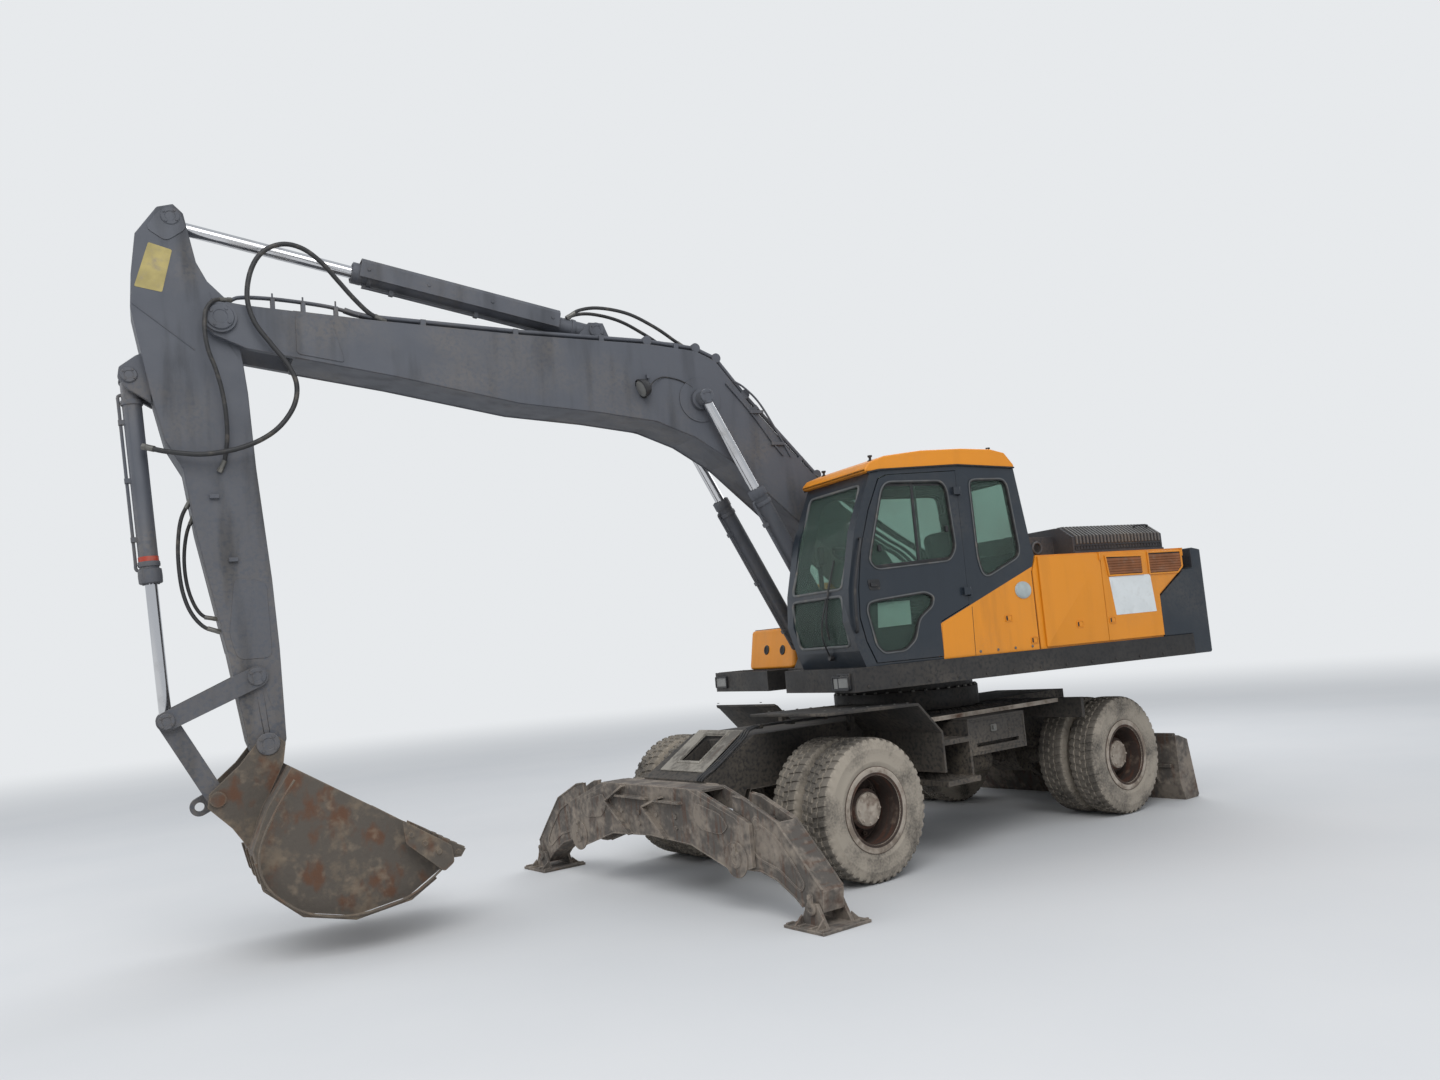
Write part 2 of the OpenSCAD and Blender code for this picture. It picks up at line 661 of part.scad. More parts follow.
module console() {
  color("black") {
    plate_xz([[980, deck_top + 60], [1080, deck_top + 60], [960, 2330], [900, 2310]], 830, 910);
    box(980, 1080, 910, 1000, deck_top + 60, deck_top + 90);
  }
}

// Boom, side view: columns are x and z
boom_outline = [[-60, 1950], [-50, 2050], [230, 2480], [874, 3142], [1181, 3446], [1516, 3833],
  [1757, 4128], [1927, 4200], [2356, 4240], [3400, 4260], [4540, 4312], [5361, 4368], [5520, 4390],
  [5620, 4330], [5630, 4230], [5560, 4150], [5361, 4066], [4382, 3908], [3452, 3729], [2816, 3673],
  [2332, 3609], [1994, 3481], [1662, 3277], [1412, 3052], [700, 2420], [150, 1880], [50, 1840], [-40, 1870]];
module boom() {
  half = boom_w / 2;
  color("gray") {
    difference() {
      union() {
        plate_xz(boom_outline, -half, half);
        pin_y(boom_eye, 85, -boom_cyl_y + boom_eye_w / 2 + seat_gap, boom_cyl_y - boom_eye_w / 2 - seat_gap);
        both_sides() plate_xz([[arm_base[0] - 160, 4180], [arm_base[0] - 60, 4430], [arm_base[0] + 60, 4430],
          [arm_base[0] + 260, 4200]], arm_ear_y, arm_ear_y + arm_ear_t);
        both_sides() pin_y(arm_pin, collar_r, half - eps, half + collar_t);
      }
      box(5060, 5800, -arm_w / 2 - side_gap, arm_w / 2 + side_gap, 3900, 4600);
      pin_y(boom_foot, main_pin_r + pin_gap, -half - eps, half + eps);
    }
    pin_y(arm_pin, main_pin_r, -half, half);
    pin_y(arm_base, cyl_pin_r, -arm_ear_y - arm_ear_t, arm_ear_y + arm_ear_t);
  }
}
// Pipes lie above the boom's top edge, on round clamps: columns are x and z
pipe_lift = 40;
pipe_path = [[845, 3169], [1486, 3859], [1732, 4161], [1917, 4239], [2352, 4280]];
module boom_pipes() {
  color("dimgray") both_sides() {
    for (i = [0 : len(pipe_path) - 2])
      from_to_xz(pipe_path[i], pipe_path[i + 1], 190)
        rotate([0, 90, 0]) cylinder(r = 16, h = norm(pipe_path[i + 1] - pipe_path[i]));
    for (p = pipe_path) pin_y(p, pipe_lift - seat_gap, 168, 212);
  }
}
module boom_barrels() {
  color("gray") both_sides() from_to_xz(boom_base, boom_eye, boom_cyl_y)
    barrel(66, boom_barrel_l, 62, boom_eye_w, cyl_pin_r, 42);
}
module boom_rods() {
  color("silver") both_sides() from_to_xz(boom_eye, boom_base, boom_cyl_y) mirror([1, 0, 0])
    rod(42, boom_rod_l, 62, boom_eye_w);
}

// Arm, side view: columns are x and z
arm_outline = [[5720, 5010], [5780, 5070], [5880, 5040], [6018, 4840], [6050, 4560], [6060, 4335],
  [5960, 3780], [5883, 3434], [5780, 3240], [5720, 2821], [5558, 2007], [5459, 1400], [5422, 1292],
  [5340, 1258], [5258, 1292], [5221, 1400], [5236, 1996], [5265, 2479], [5333, 3251], [5362, 3766],
  [5385, 3983], [5405, 4150], [5390, 4270], [5450, 4400], [5588, 4542], [5652, 4671]];
module arm() {
  half = arm_w / 2;
  color("gray") difference() {
    union() {
      plate_xz(arm_outline, -half, half);
      both_sides() plate_xz([[5950, 3700], [6090, 3790], [6150, 3870], [6140, 3940], [6040, 4020],
        [5980, 4050]], 60, 100);
      pin_y(bucket_base, 35, -100, 100);
    }
    pin_y(arm_pin, main_pin_r + pin_gap, -half - eps, half + eps);
    pin_y(rocker_pin, rocker_pin_r + pin_gap, -half - eps, half + eps);
    pin_y(tip_pin, main_pin_r + pin_gap, -half - eps, half + eps);
    // slot for the eye of the arm cylinder
    box(5500, 6200, -arm_slot_w / 2, arm_slot_w / 2, 4860, 5300);
  }
}
module arm_barrel() {
  color("gray") from_to_xz(arm_base, arm_eye, 0)
    barrel(72, arm_barrel_l, 66, 2 * (arm_ear_y - seat_gap), cyl_pin_r, 46);
}
module arm_rod() {
  color("silver") from_to_xz(arm_eye, arm_base, 0) mirror([1, 0, 0])
    rod(46, arm_rod_l, 66, arm_slot_w - 2 * seat_gap);
}
module bucket_barrel() {
  color("gray") from_to_xz(bucket_base, rod_eye, 0) barrel(60, bucket_barrel_l, 55, 108, 35, 38);
}
module bucket_rod() {
  color("silver") from_to_xz(rod_eye, bucket_base, 0) mirror([1, 0, 0])
    rod(38, bucket_rod_l, 55, 2 * link_y0 - 2 * seat_gap);
}
module slab_between(a, b, ra, rb, y0, y1) {
  d = norm(b - a);
  ang = atan2(b[1] - a[1], b[0] - a[0]);
  k = asin((ra - rb) / d);
  n1 = [cos(ang + 90 - k), sin(ang + 90 - k)];
  n2 = [cos(ang - 90 + k), sin(ang - 90 + k)];
  plate_xz([a + ra * n1, b + rb * n1, b + rb * n2, a + ra * n2], y0, y1);
  pin_y(a, ra, y0, y1);
  pin_y(b, rb, y0, y1);
}
module rocker() {
  y0 = arm_w / 2 + side_gap;
  color("gray") {
    both_sides() difference() {
      slab_between(rocker_pin, rod_eye, 70, 62, y0, y0 + rocker_t);
      pin_y(rod_eye, rocker_pin_r + pin_gap, y0 - eps, y0 + rocker_t + eps);
    }
    pin_y(rocker_pin, rocker_pin_r, -y0 - rocker_t, y0 + rocker_t);
  }
}
module bucket_link() {
  boss_y = arm_w / 2 + side_gap - seat_gap;
  color("gray") {
    both_sides() {
      slab_between(rod_eye, link_pin, 60, 60, link_y0, 150);
      pin_y(rod_eye, rocker_pin_r, 150 - eps, arm_w / 2 + side_gap + rocker_t + 8);
    }
    pin_y(link_pin, 60, -boss_y, boss_y);
    difference() {
      slab_between(link_pin, lift_eye, 60, 60, -lift_eye_t / 2, lift_eye_t / 2);
      pin_y(lift_eye, lift_eye_r, -lift_eye_t, lift_eye_t);
    }
  }
}
// Bucket, in a frame whose X runs from the arm pin to the teeth: columns are x and z
bucket_angle = -145;
link_pin_local = [
  (link_pin[0] - tip_pin[0]) * cos(bucket_angle) + (link_pin[1] - tip_pin[1]) * sin(bucket_angle),
  -(link_pin[0] - tip_pin[0]) * sin(bucket_angle) + (link_pin[1] - tip_pin[1]) * cos(bucket_angle)];
bucket_outline = [[175, 60], [1330, 20], [1400, 110], [1270, 430], [1020, 680], [720, 800], [430, 770],
  [250, 610], [185, 350]];
bucket_cavity = [[202, -100], [1400, -100], [1365, 100], [1240, 412], [1005, 655], [715, 772], [440, 742],
  [275, 595], [212, 345]];
module bucket() {
  half = bucket_w / 2;
  color("dimgray") translate([tip_pin[0], 0, tip_pin[1]]) rotate([0, -bucket_angle, 0]) {
    difference() {
      plate_xz(bucket_outline, -half, half);
      plate_xz(bucket_cavity, -half + 25, half - 25);
    }
    for (i = [0 : 4])
      plate_xz([[1300, 20], [bucket_reach, -10], [bucket_reach, 10], [1385, 70], [1330, 80]],
        -half + 30 + i * (bucket_w - 150) / 4, -half + 120 + i * (bucket_w - 150) / 4);
    both_sides() {
      plate_xz([[-60, -40], [0, -75], [90, -60], [150, 60], [200, 400], [300, 640], [100, 560],
        [-100, 520], [-140, 440], [-80, 200]], arm_w / 2 + side_gap, arm_w / 2 + side_gap + 35);
      pin_y(link_pin_local, 48, arm_w / 2 + side_gap + 30, arm_w / 2 + side_gap + 50);
    }
    pin_y([0, 0], main_pin_r, -arm_w / 2 - side_gap - 30, arm_w / 2 + side_gap + 30);
  }
}

at_origin() chassis_frame();
at_origin() front_beam();
at_origin() slew_ring();
at_origin() front_axle();
at_origin() rear_axle();
at_origin() step_box(left_fender_x);  // left_step_box
at_origin() mirror([0, 1, 0]) step_box(right_fender_x);  // right_step_box
at_origin() leg();  // leg_left
at_origin() mirror([0, 1, 0]) leg();  // leg_right
at_origin() pad();  // pad_left
at_origin() mirror([0, 1, 0]) pad();  // pad_right
at_origin() leg_barrel();  // leg_barrel_left
at_origin() mirror([0, 1, 0]) leg_barrel();  // leg_barrel_right
at_origin() leg_rod();  // leg_rod_left
at_origin() mirror([0, 1, 0]) leg_rod();  // leg_rod_right
at_origin() blade();
at_origin() blade_barrels();
at_origin() blade_rods();
at_origin() knuckle_left();
at_origin() mirror([0, 1, 0]) knuckle_left();  // knuckle_right
at_origin() at_wheel(front_axle_x, true) tyres();  // tyres_front_left
at_origin() at_wheel(front_axle_x, false) tyres();  // tyres_front_right
at_origin() at_wheel(rear_axle_x, true) tyres();  // tyres_rear_left
at_origin() at_wheel(rear_axle_x, false) tyres();  // tyres_rear_right
at_origin() at_wheel(front_axle_x, true) rims();  // rims_front_left
at_origin() at_wheel(front_axle_x, false) rims();  // rims_front_right
at_origin() at_wheel(rear_axle_x, true) rims();  // rims_rear_left
at_origin() at_wheel(rear_axle_x, false) rims();  // rims_rear_right
at_origin_slewed() upper_frame();
at_origin_slewed() counterweight();
at_origin_slewed() left_housing();
at_origin_slewed() service_door_front();
at_origin_slewed() service_door_rear();
at_origin_slewed() engine_hood();
at_origin_slewed() right_housing();
at_origin_slewed() front_box();
at_origin_slewed() engine_block();
at_origin_slewed() cab();
at_origin_slewed() cab_roof();
at_origin_slewed() cab_door();
at_origin_slewed() seat();
at_origin_slewed() console();
at_origin_slewed() boom();
at_origin_slewed() boom_pipes();
at_origin_slewed() boom_barrels();
at_origin_slewed() boom_rods();
at_origin_slewed() arm();
at_origin_slewed() arm_barrel();
at_origin_slewed() arm_rod();
at_origin_slewed() bucket_barrel();
at_origin_slewed() bucket_rod();
at_origin_slewed() rocker();
at_origin_slewed() bucket_link();
at_origin_slewed() bucket();
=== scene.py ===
"""Looks of a wheeled excavator: finishes for its metalwork, and the pieces that its solids leave out.

Every length is in metres. The chassis looks along +X and stands on Z = 0. The upper structure is turned on
its slew ring, so its pieces are worked out in a frame of their own, the upper frame, whose X runs along
the boom and whose origin is on the slew axis, and are then turned into place as whole arrays of points.
"""

import json
import logging
import math
from dataclasses import dataclass, field
from enum import Enum

import bmesh
import bpy
import numpy as np
from mathutils import Matrix

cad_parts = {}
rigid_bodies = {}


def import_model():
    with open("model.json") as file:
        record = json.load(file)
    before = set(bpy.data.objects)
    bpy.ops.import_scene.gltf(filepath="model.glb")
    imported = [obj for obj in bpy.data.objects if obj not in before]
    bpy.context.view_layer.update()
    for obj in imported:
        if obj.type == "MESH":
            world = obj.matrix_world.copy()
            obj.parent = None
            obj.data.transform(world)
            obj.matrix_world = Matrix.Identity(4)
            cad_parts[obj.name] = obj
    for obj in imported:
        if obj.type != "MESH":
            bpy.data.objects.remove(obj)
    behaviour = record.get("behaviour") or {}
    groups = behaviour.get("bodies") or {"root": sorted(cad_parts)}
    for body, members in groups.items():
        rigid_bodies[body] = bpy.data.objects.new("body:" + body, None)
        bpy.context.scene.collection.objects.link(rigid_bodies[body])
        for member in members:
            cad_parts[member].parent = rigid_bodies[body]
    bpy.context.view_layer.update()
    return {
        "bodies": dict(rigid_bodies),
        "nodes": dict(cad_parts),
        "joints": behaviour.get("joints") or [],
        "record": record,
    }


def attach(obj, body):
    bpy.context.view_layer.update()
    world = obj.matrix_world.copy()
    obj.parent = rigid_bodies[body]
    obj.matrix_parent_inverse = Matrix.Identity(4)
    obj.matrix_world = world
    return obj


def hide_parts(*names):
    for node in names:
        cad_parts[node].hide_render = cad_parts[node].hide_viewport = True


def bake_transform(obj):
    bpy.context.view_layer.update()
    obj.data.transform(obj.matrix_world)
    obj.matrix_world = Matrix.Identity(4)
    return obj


LOG = logging.getLogger("excavator")
SLEW = math.radians(-10.0)
SLEW_X = -1.690
TAU = 2.0 * math.pi
SHARP = math.radians(35.0)
MERGE = 1e-6
SIDES = (("left", 1.0), ("right", -1.0))
GROUND_BODIES = ("chassis", "blade", "wheel_", "leg_", "pad_")


class Place(Enum):
    """The frame that a form's points are given in."""

    CHASSIS = "chassis"
    UPPER = "upper"


def to_row(points: np.ndarray, place: Place) -> np.ndarray:
    """Takes points from the chassis frame or the upper frame to the object's own frame.

    The upper frame is turned about Z by the slew angle, and both are then moved along X to the slew axis.

    Args:
        points: One point per row, in metres.
        place: The frame that the points are in.

    Returns:
        The same points in the object's frame.
    """
    pts = np.asarray(points, float).reshape(-1, 3).copy()
    if place is Place.UPPER:
        c, s = math.cos(SLEW), math.sin(SLEW)
        pts[:, :2] = pts[:, :2] @ np.array([[c, s], [-s, c]])
    pts[:, 0] += SLEW_X
    return pts


# Forms


@dataclass
class Form:
    """A mesh in the making: points, and faces as rows of point numbers."""

    points: np.ndarray = field(default_factory=lambda: np.zeros((0, 3)))
    faces: list[list[int]] = field(default_factory=list)

    def join(self, *others: "Form") -> "Form":
        """Appends other forms to this one and returns it."""
        for other in others:
            base = len(self.points)
            self.points = np.vstack([self.points, other.points])
            self.faces += [[i + base for i in f] for f in other.faces]
        return self

    def moved(self, x: float = 0.0, y: float = 0.0, z: float = 0.0) -> "Form":
        """Returns a copy moved by x, y and z."""
        return Form(self.points + np.array([x, y, z]), self.faces)

    def turned(self, axis: int, degrees: float) -> "Form":
        """Returns a copy turned about one of the frame's axes, by the right-hand rule."""
        a = math.radians(degrees)
        i, j = [(1, 2), (2, 0), (0, 1)][axis]
        pts = self.points.copy()
        pts[:, i] = math.cos(a) * self.points[:, i] - math.sin(a) * self.points[:, j]
        pts[:, j] = math.sin(a) * self.points[:, i] + math.cos(a) * self.points[:, j]
        return Form(pts, self.faces)

    def mirrored(self) -> "Form":
        """Returns the mirror image across Y = 0, with its faces turned to point outwards again."""
        return Form(self.points * np.array([1.0, -1.0, 1.0]), [f[::-1] for f in self.faces])


def grid(points: np.ndarray, around: bool = False, ring: bool = False, caps: bool = False) -> Form:
    """Joins a grid of points, rows by columns, with four-sided faces.

    Args:
        points: Array of rows x columns x 3.
        around: Whether the last column joins the first.
        ring: Whether the last row joins the first.
        caps: Whether the first and last rows are closed by a flat face each.

    Returns:
        The form.
    """
    rows, cols = points.shape[:2]
    r = np.arange(rows if ring else rows - 1)[:, None]
    c = np.arange(cols if around else cols - 1)[None, :]
    r1, c1 = (r + 1) % rows, (c + 1) % cols
    quads = np.stack([r * cols + c, r * cols + c1, r1 * cols + c1, r1 * cols + c], -1).reshape(-1, 4).tolist()
    if caps:
        quads += [list(range(cols))[::-1], list(range((rows - 1) * cols, rows * cols))]
    return Form(points.reshape(-1, 3), quads)


def lathe(profile: list[tuple[float, float]], steps: int = 48) -> Form:
    """Turns a closed profile of (radius, along) about the Y axis.

    A point at angle t is (radius cos t, along, radius sin t).
    """
    p = np.array(profile, float)
    t = np.linspace(0.0, TAU, steps, endpoint=False)[:, None]
    pts = np.stack([p[:, 0] * np.cos(t), np.broadcast_to(p[:, 1], (steps, len(p))), p[:, 0] * np.sin(t)], -1)
    return grid(pts, around=True, ring=True)


def disc(r: float, y0: float, y1: float, steps: int = 32, bevel: float = 0.003) -> Form:
    """A round plate or pin head about the Y axis, with a small bevel at both rims."""
    rows = np.array([[r - bevel, y0], [r, y0 + bevel], [r, y1 - bevel], [r - bevel, y1]])
    t = np.linspace(0.0, TAU, steps, endpoint=False)
    out, at_y = rows[:, :1], np.broadcast_to(rows[:, 1:], (4, steps))
    pts = np.stack([out * np.cos(t), at_y, out * np.sin(t)], -1)
    return grid(pts[:, ::-1], around=True, caps=True)


def smooth_path(points: list[tuple[float, float, float]], steps: int = 8) -> np.ndarray:
    """Carries a smooth curve through points.

    Between points b and c, with neighbours a and d, the curve is the cubic whose slopes at b and c are half of
    (c - a) and half of (d - b).
    """
    p = np.array(points, float)
    ext = np.vstack([2 * p[0] - p[1], p, 2 * p[-1] - p[-2]])
    t = np.linspace(0.0, 1.0, steps, endpoint=False)[:, None]
    parts = []
    for i in range(len(p) - 1):
        a, b, c, d = ext[i : i + 4]
        second, third = a - 2.5 * b + 2 * c - d / 2, -a + 3 * b - 3 * c + d
        parts.append(b + t * (c - a) / 2 + t**2 * second + t**3 * third / 2)
    return np.vstack(parts + [p[-1:]])


def tube(path: np.ndarray, radius: float, sides: int = 12) -> Form:
    """Carries a circle along a path.

    At each point the circle lies across the path's direction, and its first radius is the last one's with the
    part along the path taken out, so the tube doesn't twist.
    """
    path = np.asarray(path, float)
    ahead = np.gradient(path, axis=0)
    ahead /= np.linalg.norm(ahead, axis=1)[:, None]
    side = np.cross(ahead[0], [0.0, 0.0, 1.0])
    if np.linalg.norm(side) < 0.05:
        side = np.array([0.0, 1.0, 0.0])
    sides_of = np.zeros_like(path)
    for i, a in enumerate(ahead):
        side = side - a * (side @ a)
        side = side / np.linalg.norm(side)
        sides_of[i] = side
    up = np.cross(ahead, sides_of)
    t = np.linspace(0.0, TAU, sides, endpoint=False)[None, :, None]
    pts = path[:, None] + radius * (np.cos(t) * sides_of[:, None] + np.sin(t) * up[:, None])
    return grid(pts, around=True, caps=True)


def ring_tube(path: np.ndarray, radius: float, sides: int = 10) -> Form:
    """Carries a circle round a closed, nearly flat path.

    At each point the circle's plane holds the path's own normal, taken from all its points, and the line across
    the path's direction.
    """
    path = np.asarray(path, float)
    ahead = np.roll(path, -1, 0) - np.roll(path, 1, 0)
    ahead /= np.linalg.norm(ahead, axis=1)[:, None]
    centred = path - path.mean(0)
    normal = np.linalg.svd(centred, full_matrices=False)[2][2]
    side = np.cross(ahead, normal)
    side /= np.linalg.norm(side, axis=1)[:, None]
    up = np.cross(ahead, side)
    t = np.linspace(0.0, TAU, sides, endpoint=False)[None, :, None]
    pts = path[:, None] + radius * (np.cos(t) * side[:, None] + np.sin(t) * up[:, None])
    return grid(pts, around=True, ring=True)


def swapped(form: Form, a: int, b: int) -> Form:
    """Swaps two coordinates of a form, and turns its faces so that they point outwards again."""
    order = [0, 1, 2]
    order[a], order[b] = order[b], order[a]
    return Form(form.points[:, order], [f[::-1] for f in form.faces])


def plate_yz(outline: list[tuple[float, float]], x0: float, x1: float) -> Form:
    """Raises a flat outline, given as y and z, from x0 to x1."""
    return swapped(plate_xz(outline, x0, x1), 0, 1)


def plate_xy(outline: list[tuple[float, float]], z0: float, z1: float) -> Form:
    """Raises a flat outline, given as x and y, from z0 to z1."""
    return swapped(plate_xz(outline, z0, z1), 1, 2)


def plate_xz(outline: list[tuple[float, float]], y0: float, y1: float) -> Form:
    """Raises a flat outline, given as x and z against the clock seen from -Y, from y0 to y1."""
    p = np.array(outline, float)
    area = 0.5 * np.sum(p[:, 0] * np.roll(p[:, 1], -1) - np.roll(p[:, 0], -1) * p[:, 1])
    if area < 0:
        p = p[::-1]
    n = len(p)
    near = np.stack([p[:, 0], np.full(n, y0), p[:, 1]], -1)
    far = near + np.array([0.0, y1 - y0, 0.0])
    return grid(np.stack([near, far])[:, ::-1], around=True, caps=True)


def brick(low: tuple[float, float, float], high: tuple[float, float, float]) -> Form:
    """A box between two corners; its object's bevel rounds it."""
    x0, y0, z0 = low
    x1, y1, z1 = high
    return plate_xz(corners(x0, z0, x1, z1), y0, y1)


def rounded(outline: list[tuple[float, float]], radius: float, steps: int = 5) -> list[tuple[float, float]]:
    """Rounds the corners of an outline: each corner is an arc whose ends lie one radius back along its edges.

    The arc is the quadratic curve from one end to the other that is pulled towards the corner.
    """
    p = np.array(outline, float)
    made = []
    for a, b, c in zip(np.roll(p, 1, 0), p, np.roll(p, -1, 0)):
        r1 = min(radius, 0.45 * np.linalg.norm(a - b))
        r2 = min(radius, 0.45 * np.linalg.norm(c - b))
        s = b + (a - b) / np.linalg.norm(a - b) * r1
        e = b + (c - b) / np.linalg.norm(c - b) * r2
        t = np.linspace(0.0, 1.0, steps)[:, None]
        made += [tuple(q) for q in (1 - t) ** 2 * s + 2 * t * (1 - t) * b + t**2 * e]
    return made


def drawn_in(outline: list[tuple[float, float]] | np.ndarray, width: float) -> np.ndarray:
    """Draws an outline in by a width, with its points against the clock.

    Each point p moves to p + w m, where m halves the angle between its two edges' inward normals and is as long
    as keeps both edges w away.
    """
    p = np.array(outline, float)
    if np.sum(p[:, 0] * np.roll(p[:, 1], -1) - np.roll(p[:, 0], -1) * p[:, 1]) < 0:
        p = p[::-1]
    d = np.roll(p, -1, 0) - p
    d /= np.linalg.norm(d, axis=1)[:, None]
    n = np.stack([-d[:, 1], d[:, 0]], -1)
    m = n + np.roll(n, 1, 0)
    m /= np.maximum(0.3, (m * n).sum(1))[:, None]
    return p + width * m


def band_xz(p: np.ndarray, q: np.ndarray, y0: float, y1: float) -> Form:
    """Raises the band between an outer outline p and an inner one q, point for point, from y0 to y1."""
    ring = [(p, y0), (p, y1), (q, y1), (q, y0)]
    pts = np.stack([np.stack([a[:, 0], np.full(len(a), y), a[:, 1]], -1) for a, y in ring], 1)
    return grid(pts, around=True, ring=True)


def frame_xz(
    outline: list[tuple[float, float]] | np.ndarray, width: float, y0: float, y1: float, spread: float = 0.0
) -> Form:
    """Raises the band from an outline, drawn out by the spread, to the same outline drawn in by the width."""
    return band_xz(drawn_in(outline, -spread), drawn_in(outline, width), y0, y1)


def corners(x0: float, z0: float, x1: float, z1: float) -> list[tuple[float, float]]:
    """The outline of a rectangle between two corners, against the clock."""
    return [(x0, z0), (x1, z0), (x1, z1), (x0, z1)]


def spots(count: int, radius: float, start: float = 0.0) -> np.ndarray:
    """Evenly spaced spots on a circle, as x and z; the first is at the start angle."""
    t = np.arange(count) * TAU / count + start
    return np.stack([radius * np.cos(t), radius * np.sin(t)], -1)


def hex_heads(centres: np.ndarray, r: float, y0: float, y1: float) -> Form:
    """Six-sided nuts or bolt heads about the Y axis, with their middles at x and z."""
    t = np.arange(6) * TAU / 6
    made = Form()
    for x, z in centres:
        ring = [(x + r * math.cos(a), z + r * math.sin(a)) for a in t]
        made.join(plate_xz(ring, y0, y1))
    return made


# Finishes


class Nodes:
    """A material's node tree, with short calls for the nodes that the finishes share."""

    def __init__(self, name: str) -> None:
        """Starts a material with one surface shader."""
        self.mat = bpy.data.materials.new(name)
        self.mat.use_nodes = True
        self.tree = self.mat.node_tree
        self.tree.nodes.clear()
        self.out = self.tree.nodes.new("ShaderNodeOutputMaterial")
        self.bsdf = self.tree.nodes.new("ShaderNodeBsdfPrincipled")
        self.link(self.bsdf.outputs[0], self.out.inputs[0])
        self.coord = self.tree.nodes.new("ShaderNodeTexCoord").outputs["Object"]

    def link(self, a: bpy.types.NodeSocket, b: bpy.types.NodeSocket) -> None:
        """Joins an output to an input."""
        self.tree.links.new(a, b)

    def set(self, **values: float | tuple) -> None:
        """Sets the shader's own sockets by name, with _ for a space."""
        for key, value in values.items():
            self.bsdf.inputs[key.replace("_", " ")].default_value = value

    def mapped(self, scale: tuple[float, float, float], turn: float = 0.0,
               shift: float = 0.0) -> bpy.types.NodeSocket:
        """Object coordinates, moved along X, turned about Z and then scaled."""
        socket = self.coord
        if shift:
            move = self.tree.nodes.new("ShaderNodeMapping")
            move.inputs["Location"].default_value = (shift, 0.0, 0.0)
            self.link(socket, move.inputs[0])
            socket = move.outputs[0]
        node = self.tree.nodes.new("ShaderNodeMapping")
        node.inputs["Rotation"].default_value = (0.0, 0.0, turn)
        node.inputs["Scale"].default_value = scale
        self.link(socket, node.inputs[0])
        return node.outputs[0]

    def noise(self, scale: float, detail: float = 4.0,
              at: bpy.types.NodeSocket | None = None) -> bpy.types.NodeSocket:
        """Cloudy noise of a scale."""
        node = self.tree.nodes.new("ShaderNodeTexNoise")
        node.inputs["Scale"].default_value = scale
        node.inputs["Detail"].default_value = detail
        self.link(at or self.coord, node.inputs["Vector"])
        return node.outputs["Fac"]

    def band(self, value: bpy.types.NodeSocket, low: float, high: float) -> bpy.types.NodeSocket:
        """Rises from 0 at low to 1 at high, and stays there."""
        node = self.tree.nodes.new("ShaderNodeMapRange")
        node.interpolation_type = "SMOOTHSTEP"
        node.inputs["From Min"].default_value = low
        node.inputs["From Max"].default_value = high
        self.link(value, node.inputs["Value"])
        return node.outputs["Result"]

    def math(self, kind: str, a: bpy.types.NodeSocket, b: bpy.types.NodeSocket | float) -> bpy.types.NodeSocket:
        """One sum of two values, such as MULTIPLY or ADD."""
        node = self.tree.nodes.new("ShaderNodeMath")
        node.operation = kind
        self.link(a, node.inputs[0])
        if isinstance(b, bpy.types.NodeSocket):
            self.link(b, node.inputs[1])
        else:
            node.inputs[1].default_value = b
        return node.outputs[0]

    def mix(
        self,
        share: bpy.types.NodeSocket,
        a: bpy.types.NodeSocket | tuple,
        b: bpy.types.NodeSocket | tuple,
    ) -> bpy.types.NodeSocket:
        """Colour a where share is 0, and b where it is 1."""
        node = self.tree.nodes.new("ShaderNodeMix")
        node.data_type = "RGBA"
        self.link(share, node.inputs["Factor"])
        for value, key in ((a, 6), (b, 7)):
            if isinstance(value, bpy.types.NodeSocket):
                self.link(value, node.inputs[key])
            else:
                node.inputs[key].default_value = (*value, 1.0)
        return node.outputs[2]

    def axis(self, which: str, at: bpy.types.NodeSocket | None = None) -> bpy.types.NodeSocket:
        """One of the coordinates, X, Y or Z."""
        node = self.tree.nodes.new("ShaderNodeSeparateXYZ")
        self.link(at or self.coord, node.inputs[0])
        return node.outputs[which]

    def edges(self, width: float, low: float, high: float) -> bpy.types.NodeSocket:
        """Near 1 on outer edges: how far a bevel of that width turns the normal away."""
        bevel = self.tree.nodes.new("ShaderNodeBevel")
        bevel.samples = 4
        bevel.inputs["Radius"].default_value = width
        geometry = self.tree.nodes.new("ShaderNodeNewGeometry")
        dot = self.tree.nodes.new("ShaderNodeVectorMath")
        dot.operation = "DOT_PRODUCT"
        self.link(bevel.outputs[0], dot.inputs[0])
        self.link(geometry.outputs["Normal"], dot.inputs[1])
        away = self.math("SUBTRACT", self.math("MULTIPLY", dot.outputs["Value"], -1.0), -1.0)
        return self.band(away, low, high)

    def bump(self, height: bpy.types.NodeSocket, strength: float, distance: float) -> None:
        """Dents the surface by a height."""
        node = self.tree.nodes.new("ShaderNodeBump")
        node.inputs["Strength"].default_value = strength
        node.inputs["Distance"].default_value = distance
        self.link(height, node.inputs["Height"])
        self.link(node.outputs[0], self.bsdf.inputs["Normal"])


